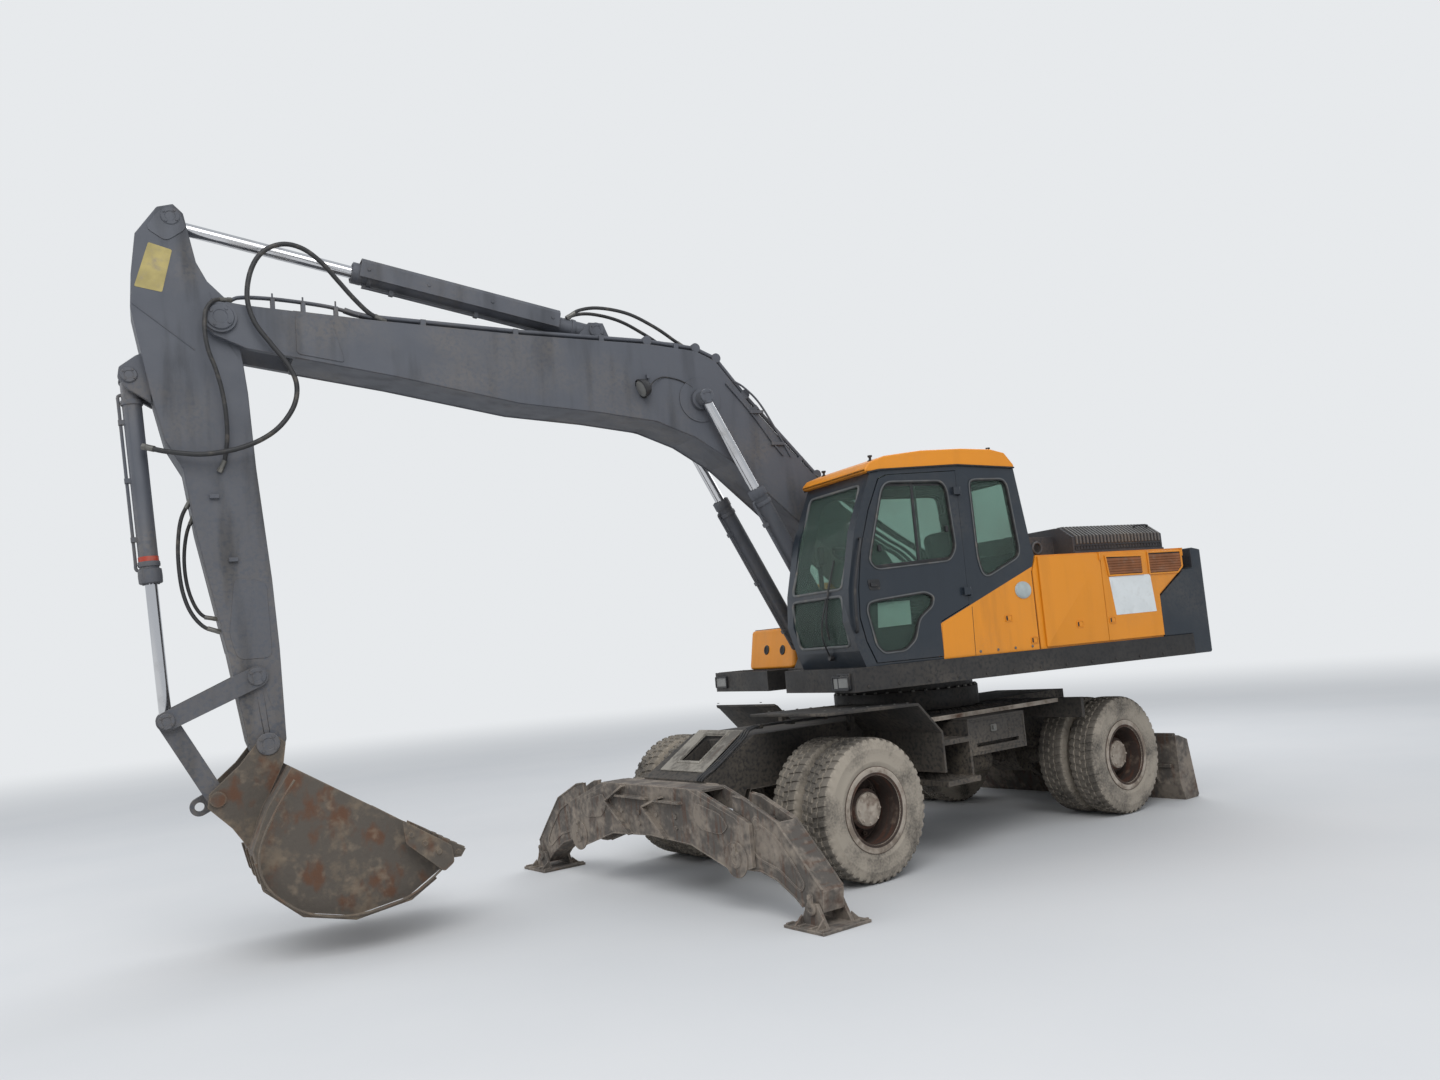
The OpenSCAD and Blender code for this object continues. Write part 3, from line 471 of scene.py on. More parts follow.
@dataclass(frozen=True)
class Paint:
    """Sprayed paint on heavy metalwork, with dust, streaks, stains and worn edges."""

    name: str
    colour: tuple[float, float, float]
    dust: tuple[float, float, float] = (0.20, 0.165, 0.125)
    bare: tuple[float, float, float] = (0.11, 0.085, 0.065)
    dusty: float = 0.35
    stained: float = 0.35
    worn: float = 0.5
    gloss: float = 0.42
    low: float = 0.2
    high: float = 1.6

    def colours(self, n: Nodes, base: bpy.types.NodeSocket | tuple) -> bpy.types.NodeSocket:
        """Lays stains, worn edges and dust over a base colour.

        Args:
            n: The material's nodes.
            base: The paint's colour.

        Returns:
            The colour that shows.
        """
        streak = n.noise(3.0, 6.0, n.mapped((2.2, 2.2, 0.35)))
        cloud = n.noise(1.7, 8.0)
        speck = n.noise(38.0, 3.0)
        stain = n.math("MULTIPLY", n.band(streak, 0.46, 0.74), self.stained)
        dark = tuple(0.45 * c for c in self.colour)
        shown = n.mix(stain, base, dark)
        edge = n.math("MULTIPLY", n.edges(0.012, 0.03, 0.22), n.band(n.noise(9.0, 5.0), 0.42, 0.62))
        shown = n.mix(n.math("MULTIPLY", edge, self.worn), shown, self.bare)
        near_ground = n.band(n.axis("Z"), self.high, self.low)
        amount = n.math("ADD", n.math("MULTIPLY", near_ground, 0.65), n.band(cloud, 0.42, 0.82))
        amount = n.math("MULTIPLY", n.math("MULTIPLY", amount, n.band(speck, 0.25, 0.6)), self.dusty)
        return n.mix(amount, shown, self.dust)

    def material(self) -> bpy.types.Material:
        """Makes the finish."""
        n = Nodes(self.name)
        n.link(self.colours(n, self.colour), n.bsdf.inputs["Base Color"])
        rough = n.tree.nodes.new("ShaderNodeMapRange")
        n.link(n.noise(6.0, 5.0), rough.inputs["Value"])
        rough.inputs["To Min"].default_value = self.gloss
        rough.inputs["To Max"].default_value = min(1.0, self.gloss + 0.35)
        n.link(rough.outputs["Result"], n.bsdf.inputs["Roughness"])
        n.bump(n.noise(55.0, 6.0), 0.12, 0.004)
        return n.mat


@dataclass(frozen=True)
class SplitPaint(Paint):
    """Cab paint in two colours: amber below a slanting line on the side, and dark above it."""

    amber: tuple[float, float, float] = (0.74, 0.262, 0.010)

    def material(self) -> bpy.types.Material:
        """Makes the finish.

        In the upper frame the amber part lies behind x = 0.57 and below the line that runs from x 0.54, z 1.80
        up and back to x -0.45, z 2.20, on the cab's outer side only.
        """
        n = Nodes(self.name)
        at = n.mapped((1.0, 1.0, 1.0), -SLEW, -SLEW_X)
        x, y, z = n.axis("X", at), n.axis("Y", at), n.axis("Z", at)
        slope = n.math("ADD", n.math("MULTIPLY", x, 0.404), z)
        below = n.band(slope, 2.022, 2.018)
        behind = n.band(x, 0.566, 0.562)
        side = n.band(y, 1.25, 1.26)
        part = n.math("MULTIPLY", n.math("MULTIPLY", below, behind), side)
        n.link(self.colours(n, n.mix(part, self.colour, self.amber)), n.bsdf.inputs["Base Color"])
        n.set(Roughness=self.gloss)
        n.bump(n.noise(55.0, 6.0), 0.08, 0.003)
        return n.mat


@dataclass(frozen=True)
class Mud:
    """Steel that is caked with dried mud over worn paint."""

    name: str
    paint: tuple[float, float, float]
    mud: tuple[float, float, float] = (0.215, 0.165, 0.125)
    rust: tuple[float, float, float] = (0.12, 0.06, 0.035)
    share: float = 0.55

    def material(self) -> bpy.types.Material:
        """Makes the finish."""
        n = Nodes(self.name)
        cloud = n.noise(4.2, 9.0)
        fine = n.noise(26.0, 7.0)
        scrape = n.noise(5.0, 4.0, n.mapped((1.0, 6.0, 1.0)))
        caked = n.band(n.math("ADD", n.math("MULTIPLY", cloud, 0.7), n.math("MULTIPLY", fine, 0.3)),
                       0.62 - 0.3 * self.share, 0.80 - 0.3 * self.share)
        shown = n.mix(n.band(scrape, 0.5, 0.68), self.paint, self.rust)
        shown = n.mix(caked, shown, self.mud)
        # Pale mud colour: on outer edges it is a painted highlight, and in random patches it is dried mud.
        highlight_and_dry_mud = tuple(min(1.0, 1.5 * c) for c in self.mud)
        shown = n.mix(n.math("MULTIPLY", n.edges(0.015, 0.03, 0.25), 0.6), shown, highlight_and_dry_mud)
        shown = n.mix(n.math("MULTIPLY", n.band(n.noise(11.0, 6.0), 0.55, 0.75), 0.5), shown, highlight_and_dry_mud)
        n.link(shown, n.bsdf.inputs["Base Color"])
        n.set(Roughness=0.9)
        n.bump(n.math("ADD", n.math("MULTIPLY", cloud, 0.5), fine), 0.5, 0.012)
        return n.mat


@dataclass(frozen=True)
class Rubber:
    """Tyre rubber, pale with dust on its wall and darker in its tread."""

    name: str
    rubber: tuple[float, float, float] = (0.034, 0.031, 0.028)
    dust: tuple[float, float, float] = (0.40, 0.35, 0.285)
    share: float = 0.92

    def material(self) -> bpy.types.Material:
        """Makes the finish."""
        n = Nodes(self.name)
        cloud = n.noise(3.4, 8.0)
        fine = n.noise(60.0, 5.0)
        mottle = n.math("ADD", n.math("MULTIPLY", cloud, 0.75), n.math("MULTIPLY", fine, 0.25))
        amount = n.math("MULTIPLY", n.band(mottle, 0.26, 0.58), self.share)
        facing = n.coord.node.outputs["Normal"]
        across = n.math("ABSOLUTE", n.axis("Y", facing), 0.0)
        wall = n.math("ADD", n.math("MULTIPLY", n.band(across, 0.25, 0.8), 0.55), 0.40)
        amount = n.math("MULTIPLY", amount, wall)
        shown = n.mix(amount, self.rubber, self.dust)
        shown = n.mix(n.math("MULTIPLY", n.band(n.noise(9.0, 6.0), 0.60, 0.76), 0.5), shown, self.rubber)
        n.link(shown, n.bsdf.inputs["Base Color"])
        n.set(Roughness=0.88)
        n.bump(n.math("ADD", fine, n.noise(14.0, 5.0)), 0.25, 0.004)
        return n.mat


@dataclass(frozen=True)
class Plain:
    """A small part's finish: one colour with fine grain, slight clouding and a little dust."""

    name: str
    colour: tuple[float, float, float]
    rough: float = 0.5
    metal: float = 0.0
    grain: float = 90.0
    dusty: float = 0.18
    cloud: float = 0.72

    def material(self) -> bpy.types.Material:
        """Makes the finish."""
        n = Nodes(self.name)
        dark = tuple(self.cloud * c for c in self.colour)
        shown = n.mix(n.band(n.noise(7.0, 6.0), 0.35, 0.7), self.colour, dark)
        dusty = n.math("MULTIPLY", n.band(n.noise(16.0, 6.0), 0.5, 0.78), self.dusty)
        shown = n.mix(dusty, shown, (0.24, 0.20, 0.155))
        n.link(shown, n.bsdf.inputs["Base Color"])
        n.set(Roughness=self.rough, Metallic=self.metal)
        n.bump(n.noise(self.grain, 3.0), 0.1, 0.0015)
        return n.mat


@dataclass(frozen=True)
class Chrome:
    """A cylinder's rod: bright chrome with a film of oil and dust in clouds over it."""

    name: str
    colour: tuple[float, float, float] = (0.62, 0.62, 0.63)

    def material(self) -> bpy.types.Material:
        """Makes the finish."""
        n = Nodes(self.name)
        film = n.band(n.noise(5.0, 7.0), 0.5, 0.8)
        n.link(n.mix(n.math("MULTIPLY", film, 0.5), self.colour, (0.20, 0.17, 0.13)),
               n.bsdf.inputs["Base Color"])
        rough = n.math("ADD", n.math("MULTIPLY", film, 0.35), 0.12)
        n.link(rough, n.bsdf.inputs["Roughness"])
        n.set(Metallic=1.0)
        return n.mat


@dataclass(frozen=True)
class Glass:
    """Tinted safety glass with a film of dust."""

    name: str
    tint: tuple[float, float, float] = (0.46, 0.60, 0.53)
    dust: tuple[float, float, float] = (0.38, 0.42, 0.37)
    film: float = 0.5

    def material(self) -> bpy.types.Material:
        """Makes the finish."""
        n = Nodes(self.name)
        film = n.math("MULTIPLY", n.band(n.noise(2.2, 7.0), 0.4, 0.75), self.film)
        n.link(n.mix(film, self.tint, self.dust), n.bsdf.inputs["Base Color"])
        n.set(Roughness=0.0, Transmission_Weight=0.93, IOR=1.12)
        return n.mat


@dataclass(frozen=True)
class Cloth:
    """Woven seat cover: fine crossed threads, and a soft sheen."""

    name: str
    colour: tuple[float, float, float] = (0.035, 0.036, 0.04)

    def material(self) -> bpy.types.Material:
        """Makes the finish."""
        n = Nodes(self.name)
        wave = n.tree.nodes.new("ShaderNodeTexWave")
        wave.inputs["Scale"].default_value = 220.0
        n.link(n.coord, wave.inputs["Vector"])
        cross = n.tree.nodes.new("ShaderNodeTexWave")
        cross.bands_direction = "Z"
        cross.inputs["Scale"].default_value = 220.0
        n.link(n.coord, cross.inputs["Vector"])
        weave = n.math("MULTIPLY", wave.outputs["Fac"], cross.outputs["Fac"])
        n.link(n.mix(weave, self.colour, tuple(2.2 * c for c in self.colour)), n.bsdf.inputs["Base Color"])
        n.set(Roughness=0.92, Sheen_Weight=0.25)
        n.bump(weave, 0.3, 0.001)
        return n.mat


AMBER = (0.74, 0.262, 0.010)
GREY = (0.084, 0.090, 0.106)
DARK = (0.018, 0.025, 0.034)

FINISHES = (
    Paint("boom_grey", GREY, stained=0.65, dusty=0.46, high=3.4, low=0.4, gloss=0.45),
    Paint("arm_grey", GREY, stained=1.0, dusty=0.5, high=4.4, low=0.8, gloss=0.5),
    Paint("cab_dark", DARK, dusty=0.22, stained=0.25, worn=0.2, gloss=0.32),
    SplitPaint("cab_two_tone", DARK, dusty=0.16, stained=0.2, worn=0.15, gloss=0.3),
    Paint("amber", AMBER, dusty=0.16, stained=0.16, worn=0.3, gloss=0.3, bare=(0.20, 0.09, 0.03)),
    Paint("deck_black", (0.014, 0.014, 0.015), dusty=0.22, stained=0.2, gloss=0.45, high=1.9, low=0.9),
    Paint("hood_grey", (0.044, 0.044, 0.050), dusty=0.30, stained=0.3, gloss=0.5, high=2.2, low=1.0),
    Paint("chassis_black", (0.022, 0.021, 0.021), dusty=0.75, stained=0.4, gloss=0.6, high=1.5, low=0.2),
    Mud("muddy_steel", (0.095, 0.084, 0.074), mud=(0.225, 0.190, 0.155), rust=(0.095, 0.058, 0.042), share=0.6),
    Mud("dusty_steel", (0.12, 0.11, 0.095), mud=(0.27, 0.25, 0.215), rust=(0.10, 0.075, 0.06), share=0.7),
    Mud("bucket_steel", (0.10, 0.085, 0.07), mud=(0.18, 0.14, 0.10), share=0.45),
    Mud("rim_dust", (0.20, 0.16, 0.125), mud=(0.38, 0.33, 0.275), rust=(0.13, 0.075, 0.05), share=0.72),
    Mud("rim_rust", (0.040, 0.026, 0.020), mud=(0.13, 0.095, 0.070), rust=(0.070, 0.030, 0.018), share=0.22),
    Rubber("tyre_rubber"),
    Chrome("rod_chrome"),
    Glass("cab_glass"),
    Cloth("seat_cloth"),
    Plain("black_rubber", (0.018, 0.018, 0.018), 0.75),
    Plain("black_plastic", (0.022, 0.022, 0.024), 0.5),
    Plain("grey_plastic", (0.10, 0.10, 0.105), 0.55),
    Plain("hose_rubber", (0.024, 0.024, 0.025), 0.55, dusty=0.3),
    Plain("zinc", (0.20, 0.195, 0.18), 0.5, 0.8, dusty=0.45),
    Plain("vent_brown", (0.25, 0.088, 0.028), 0.6, dusty=0.3),
    Plain("plate_yellow", (0.42, 0.34, 0.12), 0.6, dusty=0.75),
    Plain("notice_white", (0.70, 0.73, 0.73), 0.45, dusty=0.15, cloud=0.93),
    Plain("lamp_dull", (0.20, 0.20, 0.19), 0.25, dusty=0.3),
    Plain("cover_pale", (0.46, 0.52, 0.52), 0.3, dusty=0.2),
    Plain("seal_grey", (0.105, 0.110, 0.112), 0.6, dusty=0.5),
    # Hood ribs and slats: a paler grey than the hood's paint, a painted highlight where light catches them.
    Paint("fin_highlight_grey", (0.120, 0.118, 0.116), dusty=0.5, stained=0.3, gloss=0.5, high=2.6, low=2.2),
    Plain("red_band", (0.42, 0.045, 0.02), 0.5, dusty=0.3),
    Plain("lamp_lens", (0.78, 0.78, 0.74), 0.12, dusty=0.1),
    Plain("lamp_red", (0.50, 0.02, 0.015), 0.2, dusty=0.1),
)


class Shop:
    """Holds the finishes, and turns forms into pieces that ride on a body."""

    def __init__(self, frame: dict) -> None:
        """Makes every finish.
        """
        self.frame = frame
        self.finishes = {f.name: f.material() for f in FINISHES}

    def piece(
        self,
        name: str,
        form: Form,
        body: str,
        finish: str,
        bevel: float = 0.0,
        smooth: bool = True,
    ) -> bpy.types.Object:
        """Makes an object of a form, at the origin, and lets it ride on a body.

        Args:
            name: The piece's name.
            form: Its mesh, in the chassis frame for a body on the ground, and otherwise in the upper frame.
            body: The body that it moves with, or nothing where it spans two bodies; then it rides on none.
            finish: The name of its finish.
            bevel: Width of a bevel on its sharp edges.
            smooth: Whether it is shaded smooth between edges under 35 degrees.

        Returns:
            The object.
        """
        place = Place.CHASSIS if body.startswith(GROUND_BODIES) else Place.UPPER
        mesh = bpy.data.meshes.new(name)
        mesh.from_pydata(to_row(form.points, place).tolist(), [], form.faces)
        closed = bmesh.new()
        closed.from_mesh(mesh)
        bmesh.ops.remove_doubles(closed, verts=closed.verts, dist=MERGE)
        bmesh.ops.dissolve_degenerate(closed, dist=MERGE, edges=closed.edges)
        bmesh.ops.recalc_face_normals(closed, faces=closed.faces)
        closed.to_mesh(mesh)
        closed.free()
        obj = bpy.data.objects.new(name, mesh)
        bpy.context.scene.collection.objects.link(obj)
        mesh.materials.append(self.finishes[finish])
        if smooth:
            mesh.shade_smooth()
            mesh.set_sharp_from_angle(angle=SHARP)
        if bevel:
            mod = obj.modifiers.new("edge", "BEVEL")
            mod.width = bevel
            mod.segments = 2
            mod.limit_method = "ANGLE"
            mod.harden_normals = True
        if body:
            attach(obj, body)
        LOG.info("piece %s rides on %s", name, body or "two bodies")
        return obj

    def hose(
        self,
        name: str,
        points: list[tuple[float, float, float]],
        radius: float,
        body: str,
        far_body: str = "",
        turn: tuple = (),
    ) -> None:
        """Makes a hydraulic hose with a crimped ferrule and a nut at each end.

        Args:
            name: The hose's name.
            points: Points of its route in the upper frame.
            radius: Its radius.
            body: The body that its first end is on.
            far_body: The body that its last end is on, where that is another one.
            turn: Where its bend between the two bodies starts and ends, in the upper frame; the points are
                worked out, but nothing uses them.
        """
        path = smooth_path(points, 8)
        obj = self.piece(name, tube(path, radius), "" if far_body else body, "hose_rubber")
        row = to_row(path, Place.UPPER)
        out, back = path[1] - path[0], path[-2] - path[-1]
        for which, at, ahead, on in (("start", path[0], out, body), ("end", path[-1], back, far_body or body)):
            step = ahead / np.linalg.norm(ahead)
            line = at + step * np.array([-0.006, 0.012, 0.024, 0.050, 0.075, 0.080])[:, None]
            ferrule = tube(line[2:], 1.22 * radius, 16).join(tube(line[:3], 1.45 * radius, 6))
            self.piece(f"{name}_{which}", ferrule, on, "zinc", bevel=0.001)
        if far_body:
            start, end = (tuple(to_row(np.array(p), Place.UPPER)[0]) for p in turn)
            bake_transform(obj)

    def dress(self, finish: str, *nodes: str, bevel: float = 0.0) -> None:
        """Gives CAD nodes a finish, and a bevel on their hard edges.

        Args:
            finish: The name of the finish.
            nodes: The nodes' names.
            bevel: Width of the bevel, or 0.
        """
        for node in nodes:
            obj = self.frame["nodes"][node]
            obj.data.materials.clear()
            obj.data.materials.append(self.finishes[finish])
            if bevel:
                weld = obj.modifiers.new("weld", "WELD")
                weld.merge_threshold = 0.0002
                mod = obj.modifiers.new("edge", "BEVEL")
                mod.width = bevel
                mod.segments = 2
                mod.limit_method = "ANGLE"
                mod.angle_limit = math.radians(25.0)
                mod.harden_normals = True


# Wheels


@dataclass
class Wheel:
    """One tyre of a twin wheel, with its tread, about the Y axis through its own middle."""

    radius: float = 0.512
    width: float = 0.265
    lugs: int = 46
    depth: float = 0.012
    skew: float = 0.10

    def form(self) -> Form:
        """Works out the tyre.

        Its section is a list of (radius, distance from the middle, share of the tread's depth). Around it, each
        lug takes four lines of points: up, on, on, and down. The lines lean by the distance from the middle, so
        the two halves of the tread meet in a blunt arrow.
        """
        w = self.width
        half = np.array([
            (0.2575, 0.36, 0), (0.275, 0.395, 0), (0.297, 0.425, 0), (0.303, 0.445, 0), (0.330, 0.470, 0),
            (0.334, 0.480, 0), (0.345, 0.484, 0), (0.349, 0.478, 0), (0.385, 0.498, 0), (0.420, 0.497, 0),
            (0.424, 0.503, 0), (0.434, 0.500, 0), (0.438, 0.492, 0), (0.462, 0.478, 0.3), (0.478, 0.458, 0.9),
            (0.489, 0.432, 1), (0.4965, 0.37, 1), (0.4985, 0.27, 1), (0.4988, 0.235, 1), (0.4965, 0.225, 0.15),
            (0.4965, 0.175, 0.15), (0.499, 0.165, 1), (0.499, 0.02, 1), (0.497, 0.012, 0.3),
        ])
        sec = np.vstack([half, half[::-1] * np.array([1, -1, 1])])
        part = np.array([0.0, 0.06, 0.56, 0.62])
        on = np.array([0.0, 1.0, 1.0, 0.0])
        turn = ((np.arange(self.lugs)[:, None] + part[None, :]) * TAU / self.lugs).reshape(-1)
        lift = np.tile(on, self.lugs)
        lean = self.skew * np.abs(sec[:, 1]) + 0.5 * TAU / self.lugs * (sec[:, 1] > 0)
        angle = turn[:, None] + lean[None, :]
        r = sec[:, 0] + self.depth * sec[:, 2] * lift[:, None]
        pts = np.stack([r * np.cos(angle), np.broadcast_to(sec[:, 1] * w, r.shape), r * np.sin(angle)], -1)
        return grid(pts, around=True, ring=True)


@dataclass
class Wheels:
    """The four twin wheels with their tyres, nuts and hub caps."""

    axle_z: float = 0.512
    front_x: float = 1.700
    rear_x: float = -1.400
    rows_y: tuple[float, float] = (0.7975, 1.1175)
    disc_y: float = 1.010

    def build(self, shop: Shop) -> None:
        """Makes the pieces of all four wheels."""
        tyre = Wheel().form()
        for end, x in (("front", self.front_x), ("rear", self.rear_x)):
            for side in ("left", "right"):
                both = Form()
                for k, y in enumerate(self.rows_y):
                    both.join(tyre.turned(1, 3.0 * k).moved(x, y, self.axle_z))
                nuts = hex_heads(spots(10, 0.196), 0.019, self.disc_y, self.disc_y + 0.024)
                nuts.join(hex_heads(spots(10, 0.196), 0.009, self.disc_y + 0.02, self.disc_y + 0.038))
                cap = lathe([(0.0, 1.166), (0.10, 1.166), (0.118, 1.158), (0.122, 1.140), (0.0, 1.140)], 40)
                cap.join(hex_heads(spots(8, 0.100), 0.009, 1.160, 1.174))
                lip = lathe([(0.2435, 1.2405), (0.260, 1.2405), (0.276, 1.2445), (0.294, 1.2450),
                             (0.304, 1.2400), (0.306, 1.2300), (0.300, 1.2290), (0.2425, 1.2290)], 64)
                nuts, cap, lip = (form.moved(x, 0, self.axle_z) for form in (nuts, cap, lip))
                if side == "right":
                    both, nuts, cap, lip = (form.mirrored() for form in (both, nuts, cap, lip))
                body = f"wheel_{end}_{side}"
                tread = shop.piece(f"tread_{end}_{side}", both, body, "tyre_rubber")
                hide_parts(f"tyres_{end}_{side}")
                shop.piece(f"wheel_nuts_{end}_{side}", nuts, body, "rim_rust", smooth=False)
                shop.piece(f"hub_cap_{end}_{side}", cap, body, "rim_dust")
                shop.piece(f"rim_lip_{end}_{side}", lip, body, "rim_dust")
        shop.dress("rim_rust", *[f"rims_{e}_{s}" for e in ("front", "rear") for s in ("left", "right")],
                   bevel=0.003)


# Cab


def front_x(z: float | np.ndarray) -> np.ndarray:
    """The cab's front outline: x over z in the upper frame, by straight lines between its corners."""
    return np.interp(z, [1.517, 1.64, 1.86, 2.11, 2.55, 2.985], [1.29, 1.34, 1.405, 1.385, 1.28, 1.09])


def rear_x(z: float | np.ndarray) -> np.ndarray:
    """The cab's rear outline: x over z in the upper frame, by straight lines between its corners."""
    return np.interp(z, [2.165, 2.285, 2.4, 3.012], [-0.42, -0.466, -0.438, -0.345])


def cushion(half: tuple[float, float, float], channels: int, depth: float = 0.007) -> Form:
    """A crowned cushion with sewn channels across it, centred on the origin.

    With u from -90 to 90 degrees and v around, a point is (a C(u) C(v), b C(u) S(v), c T(u)). C and S are the
    cosine and sine raised to the power 0.35 with their sign kept, and T is the sine raised to 0.6. The
    thickness falls off towards the rim, and is drawn in by the depth times the eighth power of |cos| of the
    channel angle, which runs along Y.
    """
    a, b, c = half
    u = np.linspace(-0.5 * math.pi + 0.02, 0.5 * math.pi - 0.02, 41)[:, None]
    v = np.linspace(0.0, TAU, 96, endpoint=False)[None, :]

    def power(values: np.ndarray, p: float) -> np.ndarray:
        """Raises to a power and keeps the sign."""
        return np.sign(values) * np.abs(values) ** p

    x = a * power(np.cos(u), 0.35) * power(np.cos(v), 0.35)
    y = b * power(np.cos(u), 0.35) * power(np.sin(v), 0.35)
    z = c * power(np.sin(u), 0.6) * (1.0 - 0.18 * (x / a) ** 2) * (1.0 - 0.10 * (y / b) ** 2)
    groove = np.abs(np.cos(0.5 * math.pi * channels * (y / b + 1.0))) ** 8
    z = z - np.sign(z) * depth * groove * (np.abs(y) < 0.86 * b)
    return grid(np.stack([x, y, z], -1), around=True, caps=True)


@dataclass(frozen=True)
class Window:
    """One window in a flat side: its outline, its rounding, and where glass and seal lie along Y."""

    name: str
    outline: tuple[tuple[float, float], ...]
    body: str
    wall: tuple[float, float]
    radius: float = 0.055

    def build(self, shop: Shop, outward: float, paint: str) -> None:
        """Makes the rounded reveal in the wall, the rubber seal and the glass.

        Args:
            shop: Makes the pieces.
            outward: 1 where the outside looks along +Y, or -1.
            paint: The finish of the reveal.
        """
        y0, y1 = self.wall
        face = y1 if outward > 0 else y0
        sharp = drawn_in(rounded(list(self.outline), 0.004, 9), 0.0)
        soft = drawn_in(rounded(list(self.outline), self.radius, 9), 0.004)
        shop.piece(f"{self.name}_reveal", band_xz(sharp, soft, y0 + 0.001, y1 + 0.0005 * outward), self.body,
                   paint)
        lip = sorted((face + 0.007 * outward, face - 0.035 * outward))
        inner = drawn_in(soft, 0.015)
        seal = band_xz(soft, inner, *lip)
        bead = frame_xz(soft, 0.005, *sorted((face, face + 0.008 * outward)), spread=0.006)
        shop.piece(f"{self.name}_seal", seal, self.body, "black_rubber", bevel=0.002)
        shop.piece(f"{self.name}_bead", bead, self.body, "seal_grey", bevel=0.002)
        pane = sorted((face - 0.020 * outward, face - 0.015 * outward))
        shop.piece(f"{self.name}_glass", plate_xz([tuple(q) for q in drawn_in(soft, 0.008)], *pane), self.body,
                   "cab_glass", smooth=False)


@dataclass
class Cab:
    """Windows, roof fittings and the driver's place."""

    near: float = 1.320
    far: float = 0.420
    windows: tuple[Window, ...] = (
        Window("door_upper", ((0.335, 2.374), (0.367, 2.855), (0.422, 2.920), (0.944, 2.916), (1.007, 2.862),
                              (1.185, 2.306), (1.121, 2.235), (0.409, 2.274)), "cab_door", (1.265, 1.325)),
        Window("door_lower", ((0.601, 2.009), (0.683, 2.052), (1.129, 2.015), (1.222, 1.998), (1.247, 1.940),
                              (1.190, 1.666), (1.125, 1.601), (0.920, 1.607), (0.816, 1.683), (0.758, 1.840),
                              (0.621, 1.932)), "cab_door", (1.265, 1.325), 0.04),
        Window("rear_side", ((0.142, 2.902), (0.097, 2.929), (-0.216, 2.932), (-0.262, 2.881), (-0.321, 2.334),
                             (-0.290, 2.270), (0.044, 2.130), (0.102, 2.157), (0.135, 2.287)), "upper",
               (1.26, 1.32)),
    )
    right: Window = Window("right_side", ((-0.320, 2.140), (-0.262, 2.881), (-0.216, 2.932), (0.880, 2.920),
                                          (1.000, 2.850), (1.180, 2.330), (1.240, 2.140)), "upper",
                           (0.42, 0.48))

    def build(self, shop: Shop) -> None:
        """Makes the cab's pieces."""
        for window in self.windows:
            window.build(shop, 1.0, "cab_dark")
        self.right.build(shop, -1.0, "cab_dark")
        self.screens(shop)
        self.sliding_window(shop)
        self.roof(shop)
        self.outside(shop)
        self.seat(shop)
        self.controls(shop)

    def screens(self, shop: Shop) -> None:
        """Makes the windscreen, the glass below it, the rear window, and a seal round each."""
        for name, low, high, edge, wide, sign in (
            ("windscreen", 2.11, 2.90, front_x, 0.09, 1.0),
            ("lower_screen", 1.68, 2.06, front_x, 0.09, 1.0),
            ("rear_window", 2.33, 2.92, rear_x, 0.11, -1.0),
        ):
            z = np.linspace(low - 0.012, high + 0.012, 14)
            x = edge(z) - 0.014 * sign
            outline = list(zip(x, z)) + list(zip(x[::-1] - 0.005 * sign, z[::-1]))
            pane = plate_xz(outline, self.far + wide - 0.01, self.near - wide + 0.01)
            shop.piece(f"{name}_glass", pane, "upper", "cab_glass")
            loop = np.array(rounded(corners(self.far + wide, low, self.near - wide, high), 0.05, 7))
            path = np.stack([edge(loop[:, 1]) - 0.002 * sign, loop[:, 0], loop[:, 1]], -1)
            shop.piece(f"{name}_seal", ring_tube(path, 0.011), "upper", "seal_grey")

    def sliding_window(self, shop: Shop) -> None:
        """Makes the sliding frame in the door's upper window, its catches, and a pale sheet in the lower one."""
        bars = brick((0.690, 1.296, 2.285), (0.714, 1.314, 2.905))
        bars.join(brick((0.655, 1.284, 2.285), (0.668, 1.296, 2.905)),
                  brick((0.42, 1.298, 2.878), (1.00, 1.312, 2.896)),
                  plate_xz([(0.40, 2.290), (1.13, 2.252), (1.13, 2.272), (0.40, 2.310)], 1.298, 1.312))
        shop.piece("sliding_frame", bars, "cab_door", "black_plastic", bevel=0.002)
        catches = brick((1.055, 1.310, 2.375), (1.085, 1.332, 2.425))
        catches.join(brick((0.395, 1.310, 2.505), (0.425, 1.332, 2.555)))
        shop.piece("window_catches", catches, "cab_door", "black_plastic", bevel=0.006)
        sheet = plate_xz([(1.111, 1.985), (0.811, 1.991), (0.816, 1.808), (1.128, 1.799)], 1.285, 1.287)
        shop.piece("pale_card", sheet, "cab_door", "notice_white", smooth=False)

    def roof(self, shop: Shop) -> None:
        """Makes the lifting lugs, the hatch and the rain strip under the roof's edge."""
        lug = lathe([(0.0, 0.0), (0.020, 0.0), (0.022, 0.008), (0.010, 0.014), (0.010, 0.030), (0.018, 0.036),
                     (0.018, 0.048), (0.0, 0.05)], 20).turned(0, 90)
        lugs = Form()
        for x, z in ((1.0, 3.088), (-0.19, 3.155)):
            for y in (0.55, 1.22):
                lugs.join(lug.moved(x, y, z))
        shop.piece("roof_lugs", lugs, "upper", "black_plastic")
        hatch = plate_xz([(0.0, 3.168), (0.62, 3.150), (0.62, 3.172), (0.0, 3.192)], 0.60, 1.14)
        shop.piece("roof_hatch", hatch, "upper", "amber", bevel=0.010)
        edge = [(1.118, 2.978), (1.010, 2.998), (0.246, 3.034), (-0.345, 3.010)]
        outline = edge + [(x, z + 0.012) for x, z in edge[::-1]]
        strip = plate_xz(outline, self.near + 0.004, self.near + 0.020)
        strip.join(plate_xz(outline, self.far - 0.020, self.far - 0.004))
        shop.piece("rain_strips", strip, "upper", "black_rubber", bevel=0.003)

